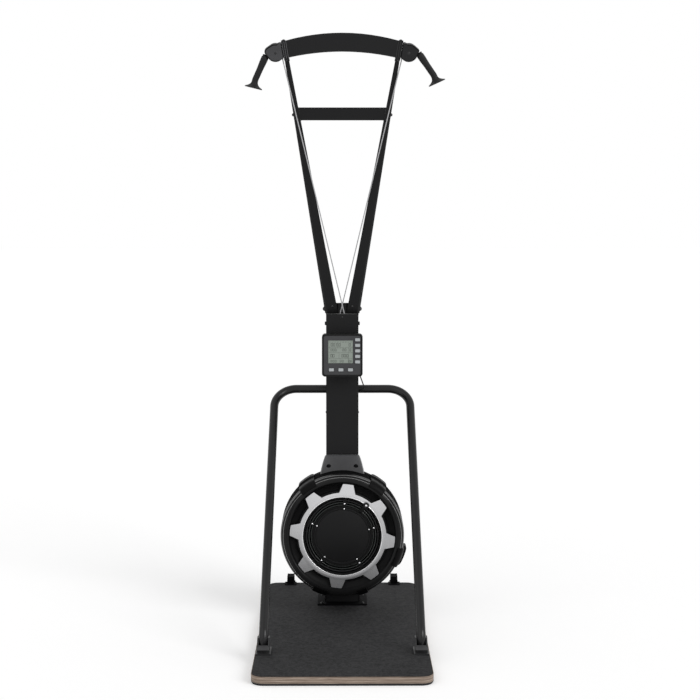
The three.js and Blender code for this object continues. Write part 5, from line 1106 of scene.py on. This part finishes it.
def inner_angle(name):
    """Angle on the pulley where the line from the mast's head touches the cord's circle."""
    seen, _ = cord_hole(name)
    u = SIDES[name] * seen[0] - PULLEY_SPREAD
    opening = math.acos(PULLEY_CORD / math.hypot(u, seen[1]))
    return math.atan2(seen[1], u) + 2 * math.pi - opening


def tail_angle(side):
    """Angle on the pulley where the cord leaves for the handle."""
    return math.radians(39.0) + TURN[side]


def tail_point(side, length):
    """Point of the frame on the cord's tail at a length from the pulley."""
    angle = tail_angle(side)
    a, b = on_pulley(side, angle)
    return head_point(a + side * length * math.sin(angle), b - length * math.cos(angle))


def collar_across(level, share):
    """How far out a header collar stands at a level, at a share of its width: its sides lean outwards in
    line with the arms."""
    return 0.190 + 0.019 * share + ARM_SLOPE * (level - COLLAR_FOOT)


def housing_outline(side, inset=0.0):
    """Outline of a pulley housing in the head's plane: a straight root along the collar, a round under
    side, a blunt nose outwards and a round shoulder. The nose is turned up by the side's own angle."""
    turn, root_low, root_high = TURN[side], -0.020, 0.035

    def arc(start, end):
        t = np.radians(np.linspace(start, end, 14))
        return 0.032 * np.column_stack([np.cos(t), np.sin(t)])

    def root(v):
        level = HEAD[2] + 0.015 * math.sin(LEAN) + v * math.cos(LEAN)
        return [(collar_across(level, 1.0) + 0.0006 - PULLEY_SPREAD, v)]

    nose = np.array([(0.0365, -0.004), (0.0390, 0.0010), (0.0395, 0.005), (0.0385, 0.0100), (0.033, 0.016)])
    if side > 0:
        nose[2:] = [(0.0380, 0.0020), (0.0355, 0.0060), (0.0290, 0.0145)]
    nose = nose @ np.array([[math.cos(turn), math.sin(turn)], [-math.sin(turn), math.cos(turn)]])
    pairs = np.concatenate([root(root_low), arc(-140, -35 + math.degrees(turn)), nose, arc(62, 100),
                            [(-0.014, root_high)], root(root_high)])
    middle = np.array([0.001, 0.002])
    reach = np.linalg.norm(pairs - middle, axis=1, keepdims=True)
    inset = np.where(pairs[:, :1] < -0.010, 0.2, 1.0) * inset
    pairs = middle + (pairs - middle) * (1 - inset / reach)
    pairs = np.column_stack([side * (PULLEY_SPREAD + pairs[:, 0]), pairs[:, 1]])
    return pairs if side > 0 else pairs[::-1]


class SKI_OT_pulley_housings(BuildPiece, bpy.types.Operator):
    """Cuts front and rear shells of the two pulley housings: plates in the leaning plane of the head with
    a round hollow for the pulley and slots for the cord, a grey face plate and a centre screw"""
    bl_idname = "ski.pulley_housings"
    bl_label = "Pulley housings"

    def build(self, sizes):
        depth, face_depth, gap = 0.015, 0.0158, 0.0002
        hollow_radius, hollow_depth, hollow_over = 0.023, 0.012, 0.002
        slot_radius, slot_length, tail_slot = 0.0045, 0.06, 0.05
        for name, side in SIDES.items():
            outline, middle = housing_outline(side), (side * PULLEY_SPREAD, 0.0)
            start = on_pulley(side, inner_angle(name))
            way = unit(cord_hole(name)[0] - start)
            cord_way = [head_point(*start), head_point(*(start + slot_length * way))]
            tail_way = [tail_point(side, 0.0), tail_point(side, tail_slot)]
            for half, near, far, hollow in (("front", -depth, -gap, (-hollow_depth, hollow_over)),
                                            ("rear", gap, depth, (-hollow_over, hollow_depth))):
                shell = slab(f"housing_{half}_{name}", outline, near, far, on_head)
                cavity = slab("cavity", circle_outline(hollow_radius, 64, middle), *hollow, on_head)
                cut(shell, cavity, *(sweep("slot", path, slot_radius, 16) for path in (cord_way, tail_way)))
                edge_bevel(shell, 0.0012, 2, 40)
                fit(shell, "black_plastic",
                    replaces=(f"pulley_housing_{half}_{name}",))
            face = slab(f"housing_face_{name}", housing_outline(side, 0.0045), -face_depth, 0.0001 - depth,
                        on_head, bevel=0.0004)
            # Each face plate takes its side's finish: lighter on the left as painted light, darker on the
            # right as painted shade
            fit(face, f"housing_face_{name}")
            foot = head_point(*middle, gap - face_depth)
            bolt(f"housing_screw_{name}", foot, -HEAD_AXIS, 0.0055, 0.0018)
            half_groove = [(0.0046, 0.0075), (0.0207, 0.0075), (0.0215, 0.0069), (0.0175, 0.0026),
                           (0.0160, 0.0012)]
            profile = mirrored(half_groove)
            profile.insert(len(half_groove), (0.0158, 0.0))
            wheel = lathe(f"pulley_{name}", profile, head_point(*middle), HEAD_AXIS, 64, closed=True)
            fit(wheel, "black_plastic", f"pulley_{name}", (f"head_pulley_{name}",))


class SKI_OT_cords(BuildPiece, bpy.types.Operator):
    """Sweeps the drive cords over the pulleys, down to the mast and under their drums, and the short
    tails between pulleys and handles"""
    bl_idname = "ski.cords"
    bl_label = "Cords"

    def build(self, sizes):
        turn, gap = np.linspace(0, np.pi, 30), 0.0003
        for name, side in SIDES.items():
            angles = np.linspace(tail_angle(side), inner_angle(name), 40)
            over = [head_point(*on_pulley(side, angle)) for angle in angles]
            hole = cord_hole(name)[1]
            under = np.column_stack([DRUM_CORD * np.cos(turn), np.full(30, DRUM_Y[name]),
                                     FAN_Z - DRUM_CORD * np.sin(turn)])
            path = over + straight(over[-1], hole, 40)[1:] + straight(hole, under[0], 20)[1:-1]
            cord = sweep(f"drive_cord_run_{name}", path + list(under), CORD_RADIUS, CORD_STEPS)
            fit(cord, "cord", replaces=(f"drive_cord_{name}",))
            start, end = tail_point(side, gap), tail_point(side, TAIL_LENGTH - CORD_RADIUS / 2 - gap)
            tail = sweep(f"cord_tail_run_{name}", straight(start, end, 24), CORD_RADIUS, CORD_STEPS)
            fit_between(tail, "cord", f"cord_tail_{name}")


class SKI_OT_handles(BuildPiece, bpy.types.Operator):
    """Turns each handle about its own hanging axis: a waisted grip that swells to a round top and opens
    like a trumpet to a thin dished guard, with its lower end bent towards the upright, and a soft boot
    over the cord's end"""
    bl_idname = "ski.handles"
    bl_label = "Handles"

    def build(self, sizes):
        top_radius, waist, guard = 0.0130, 0.0114, 0.0312
        flare = np.linspace(0, 1, 14)
        grip = [(0.0003, 0.0), (0.0085, 0.0), (0.0110, 0.0008), (0.0124, 0.0026), (top_radius, 0.0050),
                (top_radius, 0.0140)]
        grip += [(top_radius + (waist - top_radius) * s * s * (3 - 2 * s), 0.014 + 0.041 * s)
                 for s in flare[1:]]
        grip += [(waist, 0.055 + 0.039 * s) for s in flare[1::2]]
        grip += [(waist + (guard - waist) * s ** 2.5, 0.094 + 0.0242 * s ** 0.85) for s in flare[1:]]
        grip += [(0.0318, 0.1188), (0.0322, 0.1202), (0.0318, 0.1216), (0.0310, 0.1220), (0.0284, 0.1217),
                 (0.0210, 0.1196), (0.0130, 0.1170), (0.0004, 0.1160)]
        boot = [(0.0022, 0.0048), (0.0052, 0.0048), (0.0060, 0.0045), (0.0100, 0.0032), (0.0116, 0.0019),
                (0.0122, 0.0002), (0.0118, -0.0016), (0.0022, -0.0016)]
        back, bend = math.radians(4), math.radians(10.5)
        for name, side in SIDES.items():
            lean = math.radians(HANDLE_LEAN[name])
            axis = np.array([side * math.sin(lean) * math.cos(back), math.sin(back),
                             -math.cos(lean) * math.cos(back)])
            top = tail_point(side, TAIL_LENGTH)
            handle = lathe(f"grip_body_{name}", grip, top, axis, 72)
            self.bend(handle, top, axis, side * bend)
            fit(handle, "grip_rubber", f"grip_{name}", replaces=(f"handle_{name}",))
            sleeve = lathe(f"grip_boot_{name}", boot, top, tail_point(side, 0.0) - top, 40, closed=True)
            fit(sleeve, "rubber", f"grip_{name}")

    def bend(self, handle, top, axis, turn):
        """Turns each point below 78 mm about the sideways line at 90 mm, by an angle that grows smoothly
        to the whole turn at 102 mm: p = pivot + R(share * turn) (p - pivot)."""
        points = corners_of(handle.data)
        share = np.clip(((points - top) @ axis - 0.078) / 0.024, 0, 1)
        angle = turn * share * share * (3 - 2 * share)
        pivot = top + 0.090 * axis
        x, _, z = (points - pivot).T
        points[:, 0] = pivot[0] + x * np.cos(angle) + z * np.sin(angle)
        points[:, 2] = pivot[2] + z * np.cos(angle) - x * np.sin(angle)
        handle.data.vertices.foreach_set("co", points.ravel())
        handle.data.update()


# Monitor

MONITOR_Z = 1.001
# Where along Y bumper, face and display pane start and end
PLANES = 0.193, 0.2107, 0.1942, 0.1962, 0.1964, 0.1983
FIGURE_PLANES = 0.1961, 0.1965
KEY_PROUD = 0.002
KEY_BACK = 0.198
PANE_MIDDLE = (-0.0065, 0.013)
KEYS = {f"side_{k + 1}": (0.058, 0.059 - 0.021 * k) for k in range(5)}
KEYS.update({f"foot_{k + 1}": (0.036 * k - 0.041, -0.055) for k in range(3)})


class SKI_OT_monitor(BuildPiece, bpy.types.Operator):
    """Cuts the monitor's bumper and face as rounded plates with openings, the display with its figures,
    and the eight keys, and paints the rear case"""
    bl_idname = "ski.monitor"
    bl_label = "Monitor"

    def build(self, sizes):
        paint_nodes("black_plastic", 0.0012, "monitor_rear_case")
        place = facing(z=MONITOR_Z)
        front, back, face_front, face_back, pane_front, pane_back = PLANES
        outer, inside = rounded_outline(0.154, 0.162, 0.012), rounded_outline(0.140, 0.148, 0.007)
        bumper = slab("monitor_bumper", outer, front, back, place, (inside,))
        edge_bevel(bumper, 0.0026, 4)
        fit(bumper, "rim_plastic", "monitor", replaces=("monitor_front_case",))
        holes = [rounded_outline(0.095, 0.088, 0.003, PANE_MIDDLE)]
        holes += [rounded_outline(0.0194, 0.0121, 0.0031, at) for at in KEYS.values()]
        face = slab("monitor_face", rounded_outline(0.1405, 0.1485, 0.0072), face_front, face_back, place,
                    holes, bevel=0.0004)
        fit(face, "monitor_face", "monitor")
        window = rounded_outline(0.101, 0.094, 0.003, PANE_MIDDLE)
        pane = slab("monitor_pane", window, pane_front, pane_back, place)
        fit(pane, "display", "monitor", replaces=("screen_window",))
        fit(joined("monitor_figures", *display_figures()), "figures", "monitor")
        for name, at in KEYS.items():
            cap = slab(f"key_cap_{name}", rounded_outline(0.0185, 0.0112, 0.0026, at),
                       front - KEY_PROUD, KEY_BACK, place, bevel=0.0009)
            fit(cap, "button_grey", f"key_{name}", replaces=(f"button_{name}",))


# The bars that make a zero of a seven-bar figure, by their low and high ends in half widths and heights
ZERO = (((-1, 1), (1, 1)), ((-1, -1), (1, -1)), ((-1, 0), (-1, 1)), ((1, 0), (1, 1)),
        ((-1, -1), (-1, 0)), ((1, -1), (1, 0)))
# Level and height of each row of figures, and the places of its zeros
FIGURE_ROWS = ((0.0395, 0.0100, (-0.040, -0.031, -0.019, -0.010, 0.028)),
               (0.0200, 0.0085, (-0.041, -0.033, -0.025, 0.004, 0.012, 0.030)),
               (-0.0020, 0.0105, (-0.041, -0.033, 0.001, 0.010, 0.019)),
               (-0.0225, 0.0080, (-0.041, -0.033, -0.025, -0.006, 0.002, 0.026, 0.033)))


def display_figures():
    """Thin bars in front of the pane: seven-bar zeros in four rows with small marks between them, dividing
    lines, and a narrow frame."""
    bars = []

    def bar(low, high):
        outline = [low, (high[0], low[1]), high, (low[0], high[1])]
        bars.append(slab("bar", outline, *FIGURE_PLANES, facing(z=MONITOR_Z)))

    for level, height, places in FIGURE_ROWS:
        half, thick = np.array([0.28 * height, height / 2]), height * 0.06
        for x in places:
            for low, high in ZERO:
                bar((x, level) + low * half - thick, (x, level) + high * half + thick)
    for level in (0.0300, 0.0095, -0.0125):
        bar((-0.0515, level), (0.0385, level + 0.0006))
    for across, low, high in ((0.0225, -0.0285, 0.0300), (-0.0125, -0.0125, 0.0095)):
        bar((across, low), (across + 0.0006, high))
    for k in range(9):
        bar((-0.049 + 0.010 * k, 0.0492), (-0.0445 + 0.010 * k, 0.0506))
        bar((-0.049 + 0.010 * k, 0.0268), (-0.0450 + 0.010 * k, 0.0278))
    left, right, foot, top, line = -0.0540, 0.0410, -0.0310, 0.0570, 0.0010
    bar((left, foot), (left + line, top))
    bar((right - line, foot), (right, top))
    bar((left + line, foot), (right - line, foot + line))
    bar((left + line, top - line), (right - line, top))
    return bars


class SKI_OT_sensor_cable(BuildPiece, bpy.types.Operator):
    """Sweeps the thin cable from the monitor's foot to the mast's side"""
    bl_idname = "ski.sensor_cable"
    bl_label = "Sensor cable"

    def build(self, sizes):
        foot, radius = MONITOR_Z - 0.0813, 0.0022
        corners = [(0.068, 0.213, foot), (0.076, 0.213, foot - 0.022), (0.083, 0.262, foot - 0.052),
                   (0.0660, 0.315, foot - 0.066), (0.0623, 0.315, foot - 0.066)]
        cable = sweep("sensor_cable_run", smooth_route(corners, 14), radius, CORD_STEPS)
        fit_between(cable, "rubber", "sensor_cable")


# Wheels, bolts and ribs

class SKI_OT_wheels(BuildPiece, bpy.types.Operator):
    """Turns the two transport wheels about their axles: a tyre with round shoulders and two grooves, and
    sets a folded cover between the cheeks of each bracket"""
    bl_idname = "ski.wheels"
    bl_label = "Transport wheels"

    def build(self, sizes):
        half = [(0.0046, 0.0095), (0.010, 0.0105), (0.020, 0.0105), (0.0225, 0.0100), (0.0243, 0.0085),
                (0.025, 0.0062), (0.025, 0.0040), (0.0240, 0.0034), (0.0240, 0.0026), (0.025, 0.0020)]
        cover_width, corner = 0.0250, 0.0020
        for name, side in SIDES.items():
            low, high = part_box(f"transport_wheel_{name}")
            middle = (low + high) / 2
            wheel = lathe(f"wheel_tyre_{name}", mirrored(half), tuple(middle), (1, 0, 0), 72, closed=True)
            fit(wheel, "rubber", f"wheel_{name}", replaces=(f"transport_wheel_{name}",))
            web = rounded_outline(cover_width, 0.0270, corner, (middle[0], 0.0480))
            front = slab("bracket_web", web, 0.5600, 0.5622, facing())
            lid = rounded_outline(cover_width, 0.0550, corner, (middle[0], 0.5880))
            roof = slab("bracket_roof", lid, 0.0597, 0.0617, lambda *abc: np.column_stack(abc))
            fit(joined(f"wheel_bracket_cover_{name}", front, roof), "black_metal_and_shade")


class SKI_OT_bolts(BuildPiece, bpy.types.Operator):
    """Turns the round bolt heads on yoke, arms, collars, crossbar ends, mast and foot plate, each on its
    own axis, and lays a thin grey rod along the yoke's ledge as a painted highlight on its edge"""
    bl_idname = "ski.bolts"
    bl_label = "Bolts"

    def build(self, sizes):
        radius = sizes.bolt_radius
        for name, side in SIDES.items():
            out, collar = (side, 0, 0), side * collar_across(2.156, 0.5)
            # Place of each bolt's foot, its axis, radius and height
            spots = {
                "yoke_side_bolt": ((side * 0.0655, 0.3020, 1.1705), out, 0.0092, 0.0100),
                "arm_front_bolt": ((side * 0.0380, 0.2838, 1.1800), (0, -1, -0.28), radius * 0.8, 0.0020),
                "mast_side_bolt": ((side * 0.0619, 0.3000, 0.7710), out, radius * 0.8, 0.0030),
                "crossbar_end_bolt": ((side * 0.1790, 0.0900, 1.8975), out, radius * 1.1, 0.0060),
                "collar_top_bolt": ((collar, 0.0040, 2.1560), (0, 0, 1), radius * 1.4, 0.0062),
                "collar_foot_bolt": ((side * 0.2030, -0.0030, COLLAR_FOOT), (0, 0, -1), radius, 0.0062),
            }
            for kind, spot in spots.items():
                bolt(f"{kind}_{name}", *spot)
        bolt("mast_front_screw", (0.0, 0.2651, 1.1410), FORWARD, 0.0034, 0.0014, "dark_grey_coat_and_sheen")
        half, y, z = 0.058, 0.2662, 1.1526
        # A thin grey metal rod along the ledge's edge: a painted highlight
        edge = sweep("yoke_ledge_edge", [(-half, y, z), (half, y, z)], 0.0010, 10)
        fit(edge, "band_line")
        plate_top = DECK_TOP + 0.006
        for k, (x, y) in enumerate(((-0.078, 0.245), (0.078, 0.245), (-0.078, 0.365), (0.078, 0.365))):
            bolt(f"mast_foot_bolt_{k + 1}", (x, y, plate_top), (0, 0, 1), 0.0065, 0.0040)


class SKI_OT_collar_ribs(BuildPiece, bpy.types.Operator):
    """Lays three raised ribs on the front of each header collar, leaning in line with the arm"""
    bl_idname = "ski.collar_ribs"
    bl_label = "Collar ribs"

    def build(self, sizes):
        low, high, half, front, back = 2.0920, 2.1525, 0.05, -0.0134, -0.0118
        for name, side in SIDES.items():
            ribs = []
            for share in (0.10, 0.48, 0.86):
                outline = [(side * collar_across(level, share + over), level) for level, over in
                           ((low, -half), (low, half), (high, half), (high, -half))]
                ribs.append(slab("rib", outline, front, back, facing()))
            # The ribs are alike on both sides: the left ones take a lighter grey as painted light, the
            # right ones a darker grey as painted shade
            finish = "lit_rib_grey" if side < 0 else "dark_grey_coat_and_sheen"
            fit(joined(f"collar_ribs_{name}", *ribs), finish)


# Stage

def seen_plainly(tree):
    """One for rays from the camera, in a reflection or through glass, and nought for the others."""
    path = node(tree, "ShaderNodeLightPath").outputs
    straight_on = worked_out(tree, "ADD", path["Is Camera Ray"], path["Is Glossy Ray"], use_clamp=True)
    return worked_out(tree, "ADD", straight_on, path["Is Transmission Ray"], use_clamp=True)


def studio_paper():
    """White paper: where it is seen straight on, in a reflection or through glass it glows a little above
    its own light, so that it stays white; the rest is a plain diffuse floor that keeps the shadow."""
    material = bpy.data.materials.new("Studio paper")
    material.use_nodes = True
    tree = material.node_tree
    tree.nodes.clear()
    glow = node(tree, "ShaderNodeEmission", Strength=worked_out(tree, "MULTIPLY", seen_plainly(tree), 0.25))
    diffuse = node(tree, "ShaderNodeBsdfDiffuse", Color=(0.88, 0.88, 0.88, 1.0))
    both = node(tree, "ShaderNodeAddShader")
    tree.links.new(diffuse.outputs[0], both.inputs[0])
    tree.links.new(glow.outputs[0], both.inputs[1])
    node(tree, "ShaderNodeOutputMaterial", Surface=both.outputs[0])
    return material


def studio_world(strength):
    """A white surround: plain soft light of the given strength on the object, and full white where it is
    seen straight on, in a reflection or through glass."""
    world = bpy.data.worlds.new("Studio")
    world.use_nodes = True
    tree = world.node_tree
    background = tree.nodes["Background"]
    put(tree, background.inputs["Strength"], spread(tree, seen_plainly(tree), 0.0, 1.0, strength, 1.0))
    put(tree, background.inputs["Color"], (1.0, 1.0, 1.0, 1.0))
    bpy.context.scene.world = world


def lamp(name, place, strength, width_deg):
    """A sun of a width that shines from a place towards the object's middle."""
    data = bpy.data.lights.new(name, "SUN")
    data.energy = strength
    data.angle = math.radians(width_deg)
    thing = linked(name, data)
    thing.location = place
    thing.rotation_euler = (Vector((0, 0, 1)) - Vector(place)).to_track_quat("-Z", "Y").to_euler()


class SKI_OT_stage(BuildPiece, bpy.types.Operator):
    """Sets camera, lamps, world and the pale floor"""
    bl_idname = "ski.stage"
    bl_label = "Stage"

    def build(self, sizes):
        scene = bpy.context.scene
        lens = bpy.data.cameras.new("Camera")
        lens.lens = 75.92
        lens.sensor_width = 36.0
        lens.shift_y = -45.0 / 700.0
        lens.clip_end = 200.0
        camera = linked("Camera", lens)
        camera.location = (0.0014, -5.3633, 1.5337)
        camera.rotation_euler = (math.pi / 2 - 0.0615, 0.0, -0.005)
        scene.camera = camera
        scene.view_settings.view_transform = "Standard"
        studio_world(0.60)
        lamp("Key", (4.0, -3.4, 4.0), 1.2, 30)
        lamp("Fill", (-4.0, -4.0, 5.0), 0.4, 60)
        reach = 60.0
        mesh = bpy.data.meshes.new("Floor")
        mesh.from_pydata([(x * reach, y * reach, 0) for x, y in ((-1, -1), (1, -1), (1, 1), (-1, 1))], [],
                         [(0, 1, 2, 3)])
        floor = linked("Floor", mesh)
        mesh.materials.append(studio_paper())


# Panel and running

OPERATORS = (SKI_OT_finishes, SKI_OT_platform, SKI_OT_folded_steel, SKI_OT_inner_works,
             SKI_OT_support_hoop, SKI_OT_fan_shells, SKI_OT_toothed_ring, SKI_OT_grille,
             SKI_OT_centre_disc, SKI_OT_damper_lever, SKI_OT_neck_cover, SKI_OT_pulley_housings,
             SKI_OT_cords, SKI_OT_handles, SKI_OT_monitor, SKI_OT_sensor_cable, SKI_OT_wheels,
             SKI_OT_bolts, SKI_OT_collar_ribs, SKI_OT_stage)


class SKI_PT_panel(bpy.types.Panel):
    """Lists sizes, colours and the building steps"""
    bl_idname = "SKI_PT_panel"
    bl_label = "Ski trainer machine"
    bl_space_type = "VIEW_3D"
    bl_region_type = "UI"
    bl_category = "Ski trainer"

    def draw(self, context):
        layout = self.layout
        for group in (context.scene.ski_trainer_sizes, context.scene.ski_trainer_looks):
            for key in group.__annotations__:
                layout.prop(group, key)
        for operator in OPERATORS:
            layout.operator(operator.bl_idname)


CLASSES = (SkiTrainerSizes, SkiTrainerLooks, *OPERATORS, SKI_PT_panel)


def register():
    for cls in CLASSES:
        bpy.utils.register_class(cls)
    bpy.types.Scene.ski_trainer_sizes = bpy.props.PointerProperty(type=SkiTrainerSizes)
    bpy.types.Scene.ski_trainer_looks = bpy.props.PointerProperty(type=SkiTrainerLooks)


def unregister():
    del bpy.types.Scene.ski_trainer_looks
    del bpy.types.Scene.ski_trainer_sizes
    for cls in reversed(CLASSES):
        bpy.utils.unregister_class(cls)


def main():
    register()
    for operator in OPERATORS:
        group, name = operator.bl_idname.split(".")
        getattr(getattr(bpy.ops, group), name)()


if __name__ == "__main__":
    main()
